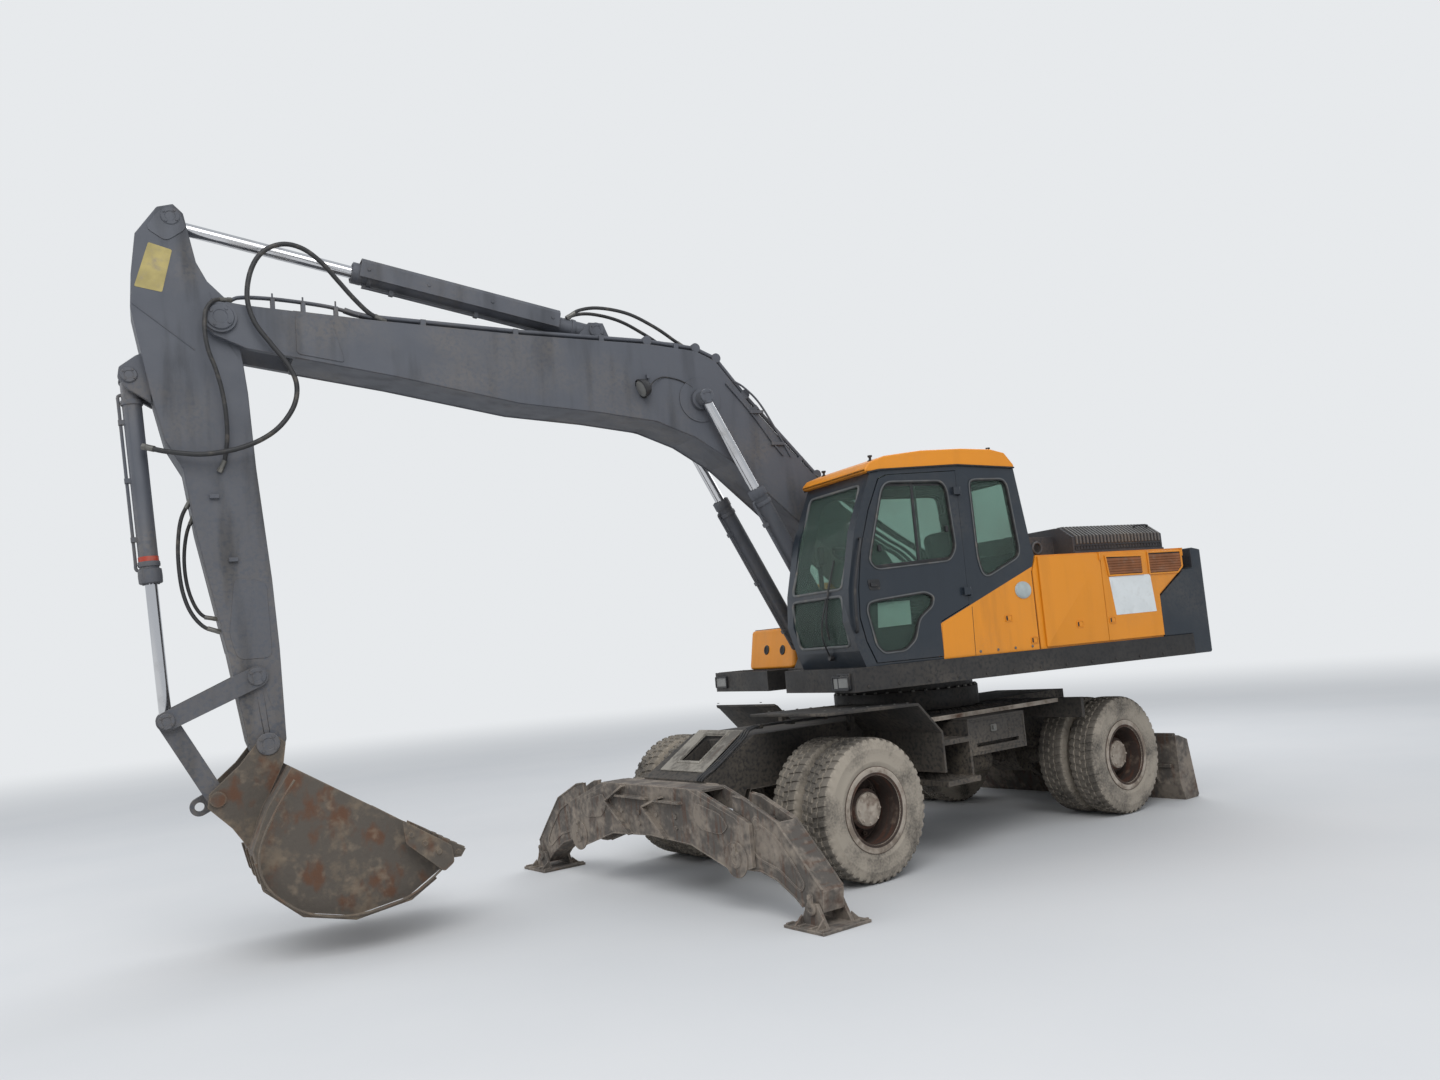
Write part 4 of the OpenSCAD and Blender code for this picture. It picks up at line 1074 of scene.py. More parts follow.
    def outside(self, shop: Shop) -> None:
        """Makes the wiper, the grab rail, the door's handle and the work lamp at the deck's front corner."""
        z = np.linspace(1.74, 2.34, 9)
        blade = np.stack([front_x(z) + 0.012, np.linspace(0.99, 1.10, 9), z], -1)
        arm = smooth_path([(float(front_x(1.60)) + 0.03, 0.93, 1.60),
                           (float(front_x(1.80)) + 0.045, 0.97, 1.80),
                           (float(front_x(2.06)) + 0.022, 1.045, 2.06)])
        wiper = tube(blade, 0.008, 8).join(tube(arm, 0.007, 8))
        wiper.join(disc(0.022, -0.02, 0.02).turned(2, -90).moved(float(front_x(1.60)) + 0.02, 0.93, 1.60))
        shop.piece("wiper", wiper, "upper", "black_plastic")
        rail = smooth_path([(1.350, 1.316, 1.78), (1.352, 1.345, 1.80), (1.358, 1.352, 1.90),
                            (1.346, 1.352, 2.10), (1.300, 1.352, 2.30), (1.252, 1.345, 2.46),
                            (1.246, 1.316, 2.48)])
        shop.piece("grab_rail", tube(rail, 0.011), "upper", "black_plastic")
        handle = plate_xz(rounded([(1.10, 2.085), (1.20, 2.085), (1.215, 2.165), (1.10, 2.165)], 0.02), 1.324,
                          1.331)
        handle.join(plate_xz(rounded(corners(1.12, 2.11, 1.195, 2.14), 0.012), 1.331, 1.345))
        shop.piece("door_handle", handle, "cab_door", "black_plastic", bevel=0.003)
        lamp = frame_xz(corners(0.0, 0.0, 0.17, 0.12), 0.016, 0.0, 0.03)
        spot = (1.404, 1.29, 1.362)
        shop.piece("deck_lamp_frame", lamp.turned(2, -90).moved(*spot), "upper", "black_plastic", bevel=0.004)
        lens = plate_xz(rounded(corners(0.02, 0.015, 0.15, 0.105), 0.02), 0.0, 0.022)
        shop.piece("deck_lamp_lens", lens.turned(2, -90).moved(*spot), "upper", "lamp_lens", bevel=0.006)

    def seat(self, shop: Shop) -> None:
        """Makes the driver's seat with its cushions, arm rests and pedestal."""
        base = cushion((0.235, 0.235, 0.068), 4).moved(0.322, 0.88, 2.022)
        back = cushion((0.225, 0.235, 0.055), 4).turned(1, -77).moved(0.068, 0.88, 2.335)
        head = cushion((0.065, 0.13, 0.048), 2, 0.004).turned(1, -77).moved(-0.012, 0.88, 2.665)
        for name, form in (("seat_cushion", base), ("seat_back", back), ("head_rest", head)):
            obj = shop.piece(name, form, "upper", "seat_cloth")
            if name == "seat_cushion":
                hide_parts("seat")
        post = brick((0.19, 0.75, 1.578), (0.47, 1.01, 1.66))
        post.join(brick((0.16, 0.71, 1.92), (0.50, 1.05, 1.952)))
        bellows = lathe([(0.0, 1.66)] + [(0.125 + 0.016 * (i % 2), 1.66 + 0.26 * i / 12) for i in range(13)]
                        + [(0.0, 1.92)], 32).turned(0, 90).moved(0.33, 0.88, 0.0)
        shop.piece("seat_post", post.join(bellows), "upper", "black_rubber", bevel=0.006)
        stems = tube(smooth_path([(-0.01, 0.88, 2.52), (-0.016, 0.88, 2.60), (-0.02, 0.88, 2.64)]), 0.010)
        rests = brick((0.10, 1.13, 2.16), (0.42, 1.195, 2.20))
        rests.join(brick((0.10, 0.565, 2.16), (0.42, 0.63, 2.20)))
        for y in (1.125, 0.56):
            rests.join(brick((0.08, y, 1.93), (0.56, y + 0.075, 2.10)))
        shop.piece("arm_rests", rests.join(stems), "upper", "black_plastic", bevel=0.012)
        grip = [(0.0, 0.0), (0.012, 0.0), (0.010, 0.07), (0.019, 0.085), (0.023, 0.13), (0.020, 0.17),
                (0.0, 0.178)]
        levers = Form()
        for y in (1.16, 0.60):
            levers.join(lathe(grip, 20).turned(0, 90).moved(0.50, y, 2.10))
        shop.piece("levers", levers, "upper", "grey_plastic")

    def controls(self, shop: Shop) -> None:
        """Makes the steering wheel, the pedals, the screen and the floor mat."""
        rim = np.column_stack([spots(40, 0.15), np.zeros(40)])
        wheel = ring_tube(rim, 0.013).join(disc(0.04, -0.02, 0.012).turned(0, 90))
        for a in (0.5, 2.6, 4.71):
            end = np.array([0.15 * math.cos(a), 0.15 * math.sin(a), 0.0])
            wheel.join(tube(np.array([0.0 * end, 0.5 * end, end]), 0.009, 8))
        wheel = wheel.turned(1, -28).moved(1.030, 0.87, 2.385)
        wheel.join(tube(np.array([[0.945, 0.87, 2.28], [0.985, 0.87, 2.33], [1.026, 0.87, 2.378]]), 0.026))
        shop.piece("steering_wheel", wheel, "upper", "black_plastic")
        pedals = Form()
        for y in (0.70, 1.03):
            outline = [(1.02, 1.60), (1.17, 1.68), (1.16, 1.70), (1.01, 1.62)]
            pedals.join(plate_xz(outline, y - 0.045, y + 0.045))
            pedals.join(tube(smooth_path([(1.12, y, 1.67), (1.07, y, 1.85), (1.00, y, 2.02)]), 0.009, 10))
        shop.piece("pedals", pedals, "upper", "black_rubber", bevel=0.002)
        screen = plate_xz(rounded(corners(0.0, 0.0, 0.19, 0.15), 0.02), 0.0, 0.045)
        screen = screen.turned(2, -115).moved(1.17, 0.70, 2.34)
        shop.piece("screen", screen.join(brick((1.13, 0.57, 2.12), (1.16, 0.60, 2.36))), "upper",
                   "black_plastic", bevel=0.004)
        shop.piece("floor_mat", brick((-0.33, 0.49, 1.577), (1.20, 1.25, 1.585)), "upper", "black_rubber",
                   bevel=0.003)


# Housings, hood, counterweight and deck


@dataclass(frozen=True)
class Louvre:
    """An air grille on a side panel: a dark back, which is painted shade in the opening behind the slats,
    slanted slats, and a raised rim.

    Its front and rear edges are given as pairs of z and x, from low to high.
    """

    name: str
    front: tuple[tuple[float, float], ...]
    rear: tuple[tuple[float, float], ...]
    slats: int = 6
    stand: float = 0.012

    def forms(self, y: float) -> tuple[Form, Form, Form]:
        """Works out the back, the slats and the rim on a face that looks along +Y.

        A slat is a four-sided section of (out, up) offsets, carried from the rear edge to the front edge at its
        own height.
        """
        outline = [(x, z) for z, x in self.rear] + [(x, z) for z, x in self.front[::-1]]
        # The back is a dark sheet on the panel's face: painted shade for the opening behind the slats.
        back = plate_xz(outline, y + 0.0004, y + 0.002)
        rim = frame_xz(outline, 0.002, y + 0.0002, y + self.stand, 0.013)
        section = np.array([[0.002, -0.013], [0.010, -0.016], [0.011, -0.011], [0.003, 0.009]])
        heights = np.linspace(self.front[0][0], self.front[-1][0], self.slats + 2)[1:-1]
        made = Form()
        for z in heights:
            ends = [np.interp(z, *np.array(edge).T) for edge in (self.rear, self.front)]
            pts = np.stack([np.stack([np.full(4, x), y + section[:, 0], z + section[:, 1]], -1) for x in ends])
            made.join(grid(pts, around=True, caps=True))
        return back, made, rim


@dataclass
class Body:
    """Fittings of the upper structure behind and beside the cab."""

    door_y: float = 1.337
    cab_y: float = 1.320
    right_y: float = 1.327
    deck_top: float = 1.517
    deck_end_right: float = 1.18
    louvres: tuple[Louvre, ...] = (
        Louvre("vent_front", ((2.083, -1.265), (2.238, -1.244)), ((2.081, -1.659), (2.230, -1.661))),
        Louvre("vent_rear", ((2.076, -1.752), (2.253, -1.752)),
               ((2.076, -2.095), (2.120, -2.150), (2.253, -2.150)), 7),
    )

    def build(self, shop: Shop) -> None:
        """Makes the pieces."""
        for louvre in self.louvres:
            self.vent(shop, louvre)
        self.panels(shop)
        self.hood(shop)
        self.hood_top_parts(shop)
        self.counterweight(shop)
        self.deck(shop)
        self.front_box(shop)
        self.right_side(shop)
        self.slew(shop)

    def vent(self, shop: Shop, louvre: Louvre) -> None:
        """Makes one louvre on the left rear door, and its like on the right housing."""
        for side, y, body in (("left", self.door_y, "service_door_rear"), ("right", self.right_y, "upper")):
            back, slats, rim = louvre.forms(y)
            # The back's black finish is painted shade behind the slats.
            for part, form, finish in (("back", back, "black_rubber"), ("slats", slats, "vent_brown"),
                                       ("rim", rim, "amber")):
                made = form.mirrored() if side == "right" else form
                shop.piece(f"{louvre.name}_{part}_{side}", made, body, finish,
                           bevel=0.004 if part == "rim" else 0.0, smooth=part == "rim")

    def latch(self, shop: Shop, name: str, x: float, z: float, y: float, body: str, far: bool = False) -> None:
        """Makes a flush paddle latch and its lock, on a face that looks along +Y.

        Args:
            shop: Makes the pieces.
            name: The latch's name.
            x: The latch's middle along X.
            z: The latch's middle along Z.
            y: The face it sits on.
            body: The body it rides on.
            far: Whether it sits on the machine's right side, as a mirror image.
        """
        outline = rounded(corners(-0.034, -0.024, 0.034, 0.024), 0.010)
        rim = frame_xz(outline, 0.004, y, y + 0.006, 0.004)
        paddle = plate_xz([(-0.028, -0.018), (0.010, -0.018), (0.012, 0.018), (-0.028, 0.018)], y + 0.0005,
                          y + 0.004)
        # The slot beside the paddle is a dark sheet: painted shade in the latch's recess.
        slot = plate_xz([(0.012, -0.018), (0.028, -0.018), (0.028, 0.018), (0.014, 0.018)], y + 0.0005,
                        y + 0.002)
        lock = disc(0.008, y + 0.001, y + 0.006, 20, 0.001).moved(0.021, 0.0, 0.0)
        plate, dark = rim.join(paddle).moved(x, 0.0, z), slot.join(lock).moved(x, 0.0, z)
        shop.piece(name, plate.mirrored() if far else plate, body, "amber", bevel=0.001)
        # The lock piece carries the real lock and also the slot's painted shade.
        shop.piece(f"{name}_lock", dark.mirrored() if far else dark, body, "black_rubber")

    def panels(self, shop: Shop) -> None:
        """Makes the latches, the blank notice, the round blank cover and the seams of the left side."""
        self.latch(shop, "latch_cab_side_high", -0.124, 1.790, self.cab_y, "upper")
        self.latch(shop, "latch_cab_side_low", -0.370, 1.595, self.cab_y, "upper")
        self.latch(shop, "latch_door_front", -0.869, 1.690, self.door_y, "service_door_front")
        self.latch(shop, "latch_door_rear", -1.245, 1.700, self.door_y, "service_door_rear")
        notice = rounded([(-1.781, 1.743), (-1.298, 1.739), (-1.259, 2.066), (-1.752, 2.068)], 0.006, 3)
        shop.piece("blank_notice", plate_xz(notice, self.door_y + 0.0003, self.door_y + 0.002),
                   "service_door_rear", "notice_white", smooth=False)
        oval = spots(48, 1.0) * np.array([0.085, 0.070])
        dome = [(1.0, 0.0003), (1.0, 0.006), (0.93, 0.010), (0.88, 0.009), (0.85, 0.012), (0.5, 0.016),
                (0.02, 0.0175)]
        rows = np.stack([np.stack([s * oval[:, 0], np.full(48, h), s * oval[:, 1]], -1) for s, h in dome])
        cover = grid(rows, around=True, caps=True).moved(-0.305, self.cab_y, 2.007)
        shop.piece("round_cover", cover, "upper", "cover_pale")
        y1 = self.cab_y + 0.001
        seams = plate_xz([(0.235, 1.905), (0.249, 1.520), (0.253, 1.520), (0.239, 1.905)], self.cab_y, y1)
        seams.join(brick((-0.4195, self.cab_y, 1.52), (-0.4155, y1, 2.16)))
        shop.piece("panel_seams", seams, "upper", "black_rubber", smooth=False)
        bolts = Form()
        for x in (0.20, 0.02, -0.16, -0.34):
            bolts.join(disc(0.011, 0.0, 0.006, 18, 0.002).moved(x, self.cab_y, 1.548))
        shop.piece("panel_bolts", bolts, "upper", "zinc")

    def hood(self, shop: Shop) -> None:
        """Makes the ribs that run over both shoulders of the hood, its lips, and the grilles in its sides."""
        rib = [(1.002, 2.385), (1.014, 2.392), (1.014, 2.462), (0.868, 2.562), (0.790, 2.562), (0.788, 2.551),
               (0.859, 2.551), (1.001, 2.456)]
        ribs = Form()
        for x in np.linspace(-2.295, -1.275, 25):
            ribs.join(plate_yz(rib, x - 0.009, x + 0.009))
        ribs.join(ribs.mirrored())
        # The ribs take a paler grey than the hood: a painted highlight.
        shop.piece("hood_ribs", ribs, "engine_hood", "fin_highlight_grey", bevel=0.002, smooth=False)
        lip = plate_yz([(1.001, 2.300), (1.016, 2.300), (1.016, 2.322), (1.001, 2.326)], -2.338, -1.232)
        lip.join(lip.mirrored())
        shop.piece("hood_lip", lip, "engine_hood", "hood_grey", bevel=0.002)
        ring = corners(-2.318, 2.338, -1.252, 2.376)
        mesh = frame_xz(ring, 0.006, 1.0005, 1.006)
        for x in np.linspace(-2.29, -1.28, 28):
            mesh.join(brick((x - 0.004, 1.0005, 2.342), (x + 0.004, 1.005, 2.372)))
        mesh.join(mesh.mirrored())
        shop.piece("hood_side_grilles", mesh, "engine_hood", "black_plastic", smooth=False)

    def hood_top_parts(self, shop: Shop) -> None:
        """Makes the ports in the cover's sides, the top grilles, the exhaust, the handles and the filler cap."""
        port = lathe([(0.040, 0.0), (0.058, 0.0), (0.060, 0.010), (0.052, 0.018), (0.042, 0.016)], 36)
        # Each port's dark disc is painted shade inside the port.
        hole = disc(0.042, 0.0004, 0.004, 32, 0.001)
        for side, flip in (("left", False), ("right", True)):
            ring, dark = port.moved(-1.03, 0.760, 2.39), hole.moved(-1.03, 0.760, 2.39)
            if flip:
                ring, dark = ring.mirrored(), dark.mirrored()
            shop.piece(f"hood_port_{side}", ring, "engine_hood", "grey_plastic")
            shop.piece(f"hood_port_dark_{side}", dark, "engine_hood", "black_rubber")
        slots = Form()
        for x in np.linspace(-2.22, -1.34, 30):
            for y0, y1 in ((0.08, 0.70), (-0.70, -0.08)):
                slots.join(plate_xy(corners(x - 0.006, y0, x + 0.006, y1), 2.5505, 2.558))
        # The slats take a paler grey than the hood: a painted highlight.
        shop.piece("hood_top_slats", slots, "engine_hood", "fin_highlight_grey", smooth=False)
        frame = Form()
        for y0, y1 in ((0.05, 0.73), (-0.73, -0.05)):
            hole_at = corners(-2.26, y0, -1.30, y1)
            frame.join(swapped(frame_xz(hole_at, 0.022, 2.5502, 2.564), 1, 2))
        shop.piece("hood_top_frames", frame, "engine_hood", "hood_grey", bevel=0.003)
        pipe = lathe([(0.044, 0.0), (0.062, 0.0), (0.062, 0.012), (0.050, 0.020), (0.050, 0.120),
                      (0.044, 0.122)], 36)
        shop.piece("exhaust", pipe.turned(0, 90).moved(-1.02, -0.50, 2.490), "engine_hood", "rim_dust")
        handle = tube(smooth_path([(-2.25, 0.90, 2.52), (-2.25, 0.935, 2.54), (-2.17, 0.945, 2.545),
                                   (-2.09, 0.935, 2.54), (-2.09, 0.90, 2.52)]), 0.008, 8)
        shop.piece("hood_handles", handle.join(handle.mirrored()), "engine_hood", "black_plastic")
        lid = lathe([(0.0, 0.0), (0.055, 0.0), (0.058, 0.008), (0.050, 0.028), (0.016, 0.034), (0.0, 0.034)],
                    32)
        shop.piece("filler_cap", lid.turned(0, 90).moved(-0.62, -1.02, 2.2855), "upper", "black_plastic")

    def counterweight(self, shop: Shop) -> None:
        """Makes the lifting lugs, the tail lamps and the blank rear plate of the counterweight."""
        eyes = Form()
        lug = band_xz(spots(24, 0.055), spots(24, 0.024), -0.018, 0.018)
        for y in (-0.62, 0.62):
            eyes.join(lug.moved(-2.385, y, 2.313))
        shop.piece("counterweight_eyes", eyes, "upper", "cab_dark", bevel=0.004)
        lamp = corners(-0.07, -0.035, 0.07, 0.035)
        shells, lenses = Form(), Form()
        for y in (-0.40, 0.40):
            shell = plate_xz(rounded(lamp, 0.02), 0.0, 0.028).turned(2, 90)
            lens = plate_xz(rounded([(0.9 * a, 0.8 * b) for a, b in lamp], 0.018), 0.024, 0.034).turned(2, 90)
            shells.join(shell.moved(-2.655, y, 1.72))
            lenses.join(lens.moved(-2.655, y, 1.72))
        shop.piece("tail_lamp_shells", shells, "upper", "black_plastic", bevel=0.003)
        shop.piece("tail_lamps", lenses, "upper", "lamp_red", bevel=0.004)
        plate = plate_xz(rounded(corners(-0.22, -0.06, 0.22, 0.06), 0.012), 0.0, 0.006)
        plate = plate.turned(2, 90).moved(-2.688, 0.0, 1.60)
        shop.piece("rear_blank_plate", plate, "upper", "plate_yellow", smooth=False)

    def deck(self, shop: Shop) -> None:
        """Makes the lamps in the deck's front faces, the grip on its top and the bolts along its sides."""
        outline = rounded(corners(-0.115, -0.055, 0.115, 0.055), 0.02)
        rim = frame_xz(outline, 0.014, 0.0, 0.020)
        lens = plate_xz([tuple(q) for q in drawn_in(outline, 0.016)], 0.0005, 0.012)
        place = ((1.4202, 1.165, 1.408), (1.2152, -1.205, 1.428))
        rims, lenses = Form(), Form()
        for x, y, z in place:
            rims.join(rim.turned(2, -90).moved(x, y, z))
            lenses.join(lens.turned(2, -90).moved(x, y, z))
        shop.piece("deck_lamp_rims", rims, "upper", "black_plastic", bevel=0.003)
        shop.piece("deck_lamp_lenses", lenses, "upper", "lamp_dull", bevel=0.005)
        grit = Form()
        for x in np.linspace(0.93, 1.19, 10):
            for y in np.linspace(-1.30, -0.40, 30):
                grit.join(plate_xy([(x - 0.007, y), (x, y - 0.007), (x + 0.007, y), (x, y + 0.007)],
                                   self.deck_top, self.deck_top + 0.004))
        shop.piece("deck_grip", grit, "upper", "deck_black", smooth=False)
        bolts, far_bolts = Form(), Form()
        for x in np.linspace(-1.80, 1.30, 12):
            bolt = disc(0.012, 0.0, 0.007, 12, 0.002).moved(x, self.door_y, 1.372)
            bolts.join(bolt)
            if x < self.deck_end_right:
                far_bolts.join(bolt.mirrored())
        bolts.join(far_bolts)
        shop.piece("deck_bolts", bolts, "upper", "deck_black")

    def front_box(self, shop: Shop) -> None:
        """Makes the two round holes and the lid's seam of the right front box, the handrail and the step."""
        ring = lathe([(0.030, 0.0), (0.044, 0.0), (0.045, 0.006), (0.040, 0.010), (0.031, 0.008)], 30)
        # The dark discs inside the rings are painted shade in the holes.
        dark = disc(0.031, 0.0, 0.003, 28, 0.001)
        rings, darks = Form(), Form()
        for y, z in ((-0.907, 1.696), (-0.610, 1.685)):
            x = 0.840 + (1.885 - z) / 0.368 * 0.060 - 0.001
            rings.join(ring.turned(2, -90).turned(1, -9.3).moved(x, y, z))
            darks.join(dark.turned(2, -90).turned(1, -9.3).moved(x + 0.001, y, z))
        shop.piece("front_box_rings", rings, "upper", "black_plastic")
        shop.piece("front_box_holes", darks, "upper", "black_rubber")
        seam = Form()
        loop = corners(0.33, -1.23, 0.80, -0.44)
        top = swapped(frame_xz(loop, 0.010, 0.0, 0.006), 1, 2)
        top.points[:, 2] += 1.900 - (top.points[:, 0] - 0.31) * 0.0283 - 0.001
        seam.join(top)
        shop.piece("front_box_lid_seam", seam, "upper", "black_rubber", bevel=0.002)
        rail = smooth_path([(0.200, -1.290, 2.286), (0.200, -1.290, 2.360), (0.185, -1.292, 2.450),
                            (0.120, -1.295, 2.510), (0.020, -1.295, 2.525), (-0.300, -1.295, 2.525),
                            (-0.400, -1.295, 2.500), (-0.440, -1.292, 2.420), (-0.440, -1.290, 2.286)])
        rails = tube(rail, 0.017, 12)
        for x in (-0.44, 0.20):
            rails.join(disc(0.034, 0.0, 0.008, 20, 0.002).turned(0, 90).moved(x, -1.290, 2.2855))
        shop.piece("handrail", rails, "upper", "deck_black")
        step = brick((0.46, -1.330, 1.560), (0.70, -1.252, 1.575))
        step.join(brick((0.46, -1.335, 1.560), (0.70, -1.322, 1.610)))
        shop.piece("front_box_step", step, "upper", "deck_black", bevel=0.003)

    def right_side(self, shop: Shop) -> None:
        """Makes the seams and latches of the right housing's doors."""
        doors = Form()
        for x0, x1 in ((-1.12, -0.02), (-1.83, -1.16)):
            outline = rounded(corners(x0, 1.56, x1, 2.02), 0.03)
            doors.join(frame_xz(outline, 0.007, self.right_y, self.right_y + 0.002))
        shop.piece("right_door_seams", doors.mirrored(), "upper", "black_rubber", smooth=False)
        self.latch(shop, "latch_right_front", -0.10, 1.79, self.right_y, "upper", far=True)
        self.latch(shop, "latch_right_rear", -1.23, 1.79, self.right_y, "upper", far=True)

    def slew(self, shop: Shop) -> None:
        """Makes the ring of bolts round the slew ring."""
        heads = swapped(hex_heads(spots(36, 0.618), 0.015, 0.0, 0.014), 1, 2)
        shop.piece("slew_bolts", heads.moved(0.0, 0.0, 1.2445), "chassis", "zinc", smooth=False)


# Working arm


@dataclass(frozen=True)
class PinCap:
    """A pin's end cap with a ring of bolts: where it sits, its radius, and the body that it moves with."""

    name: str
    at: tuple[float, float]
    y: float
    r: float
    body: str

    def form(self) -> Form:
        """Turns a stepped profile about the pin, and adds four bolt heads on its face."""
        r, y = self.r, self.y
        cap = lathe([(0.0, y), (r, y), (r, y + 0.008), (r - 0.005, y + 0.013), (0.55 * r, y + 0.013),
                     (0.50 * r, y + 0.009), (0.0, y + 0.009)], 40)
        cap.join(hex_heads(spots(4, 0.76 * r, 0.6), 0.10 * r + 0.002, y + 0.012, y + 0.019))
        return cap.moved(self.at[0], 0.0, self.at[1])


def along(form: Form, start: tuple[float, float], end: tuple[float, float], y: float = 0.0) -> Form:
    """Carries a form from its own X axis to the line between two pins, given as x and z."""
    slope = math.degrees(math.atan2(end[1] - start[1], end[0] - start[0]))
    return form.turned(1, -slope).moved(start[0], y, start[1])


@dataclass
class Boom:
    """Fittings of the boom, the arm and their cylinders."""

    half: float = 0.230
    boom_base: tuple[float, float] = (0.800, 1.620)
    boom_eye: tuple[float, float] = (1.930, 3.790)
    arm_base: tuple[float, float] = (2.750, 4.370)
    arm_eye: tuple[float, float] = (5.800, 4.980)
    bucket_base: tuple[float, float] = (6.082, 3.887)
    rod_eye: tuple[float, float] = (5.938, 1.590)
    caps: tuple[PinCap, ...] = (
        PinCap("boom_eye", (1.930, 3.790), 0.3705, 0.060, "boom"),
        PinCap("boom_base", (0.800, 1.620), 0.3720, 0.062, "upper"),
        PinCap("boom_foot", (0.050, 1.950), 0.2765, 0.082, "upper"),
        PinCap("arm_pin", (5.520, 4.270), 0.2535, 0.088, "boom"),
        PinCap("arm_base", (2.750, 4.370), 0.1195, 0.062, "boom"),
        PinCap("arm_eye", (5.800, 4.980), 0.1695, 0.062, "arm"),
        PinCap("bucket_base", (6.082, 3.887), 0.0995, 0.052, "arm"),
        PinCap("rocker_pin", (5.390, 1.830), 0.2015, 0.060, "rocker"),
        PinCap("rod_eye", (5.938, 1.590), 0.2095, 0.052, "bucket_link"),
        PinCap("tip_pin", (5.340, 1.380), 0.2105, 0.074, "bucket"),
    )

    def build(self, shop: Shop) -> None:
        """Makes the pieces."""
        for cap in self.caps:
            form = cap.form()
            shop.piece(f"cap_{cap.name}", form.join(form.mirrored()), cap.body, "boom_grey", bevel=0.001)
        self.hoses(shop)
        self.welds(shop)
        self.doublers(shop)
        self.pipes(shop)
        self.side_pipes(shop)
        self.lamp(shop)
        self.cylinders(shop)
        self.guard(shop)
        self.arm_marks(shop)

    def top(self, x: float | np.ndarray) -> np.ndarray:
        """Height of the boom's top edge over x."""
        return np.interp(x, [0.230, 0.874, 1.181, 1.516, 1.757, 1.927, 2.356, 3.4, 4.54, 5.361],
                         [2.480, 3.142, 3.446, 3.833, 4.128, 4.200, 4.240, 4.260, 4.312, 4.368])

    def low(self, x: float | np.ndarray) -> np.ndarray:
        """Height of the boom's lower edge over x."""
        return np.interp(x, [0.150, 0.700, 1.412, 1.662, 1.994, 2.332, 2.816, 3.452, 4.382, 5.361],
                         [1.880, 2.420, 3.052, 3.277, 3.481, 3.609, 3.673, 3.729, 3.908, 4.066])

    def welds(self, shop: Shop) -> None:
        """Makes the weld beads along the corners of the boom and the arm."""
        beads = Form()
        for edge, x0, x1, lift in ((self.top, 0.24, 5.05, 0.001), (self.low, 0.45, 5.05, -0.001)):
            x = np.linspace(x0, x1, 90)
            beads.join(tube(np.stack([x, np.full(90, self.half - 0.012), edge(x) + lift], -1), 0.006, 6))
        shop.piece("boom_welds", beads.join(beads.mirrored()), "boom", "boom_grey")
        arm_front = [(5.240, 2.000), (5.268, 2.479), (5.336, 3.251), (5.365, 3.766), (5.386, 3.960)]
        arm_back = [(6.056, 4.335), (5.958, 3.780), (5.881, 3.434), (5.778, 3.240), (5.718, 2.821),
                    (5.556, 2.007)]
        beads = Form()
        for line in (arm_front, arm_back):
            p = np.array(line)
            beads.join(tube(np.stack([p[:, 0], np.full(len(p), 0.160), p[:, 1]], -1), 0.005, 6))
        seam = np.array([(6.047, 0.1705, 4.356), (5.864, 0.1705, 4.205), (5.681, 0.1705, 4.054)])
        beads.join(tube(seam, 0.005, 6))
        shop.piece("arm_welds", beads.join(beads.mirrored()), "arm", "boom_grey")

    def doublers(self, shop: Shop) -> None:
        """Makes the doubler plates round the pins of the boom and the arm."""
        ring = band_xz(spots(40, 0.185), spots(40, 0.086), self.half - 0.001, self.half + 0.010)
        plates = ring.moved(self.boom_eye[0], 0.0, self.boom_eye[1])
        plates.join(plate_xz(rounded([(-0.045, 1.88), (0.14, 1.90), (0.42, 2.17), (0.36, 2.42), (0.22, 2.44),
                                      (-0.035, 2.08)], 0.03), self.half - 0.001, self.half + 0.004))
        plates.join(plate_xz(rounded([(4.72, 3.99), (5.04, 4.04), (5.04, 4.32), (4.80, 4.30)], 0.03),
                             self.half - 0.001, self.half + 0.006))
        shop.piece("boom_doublers", plates.join(plates.mirrored()), "boom", "boom_grey", bevel=0.002)
        plates = plate_xz(rounded([(5.70, 4.90), (5.75, 5.045), (5.87, 5.015), (5.955, 4.885), (5.83, 4.80)],
                                  0.04), 0.169, 0.1765)
        plates.join(plate_xz(rounded([(5.285, 1.95), (5.50, 1.95), (5.545, 2.12), (5.50, 2.50), (5.30, 2.46)],
                                     0.05), 0.169, 0.1735))
        shop.piece("arm_doublers", plates.join(plates.mirrored()), "arm", "boom_grey", bevel=0.002)

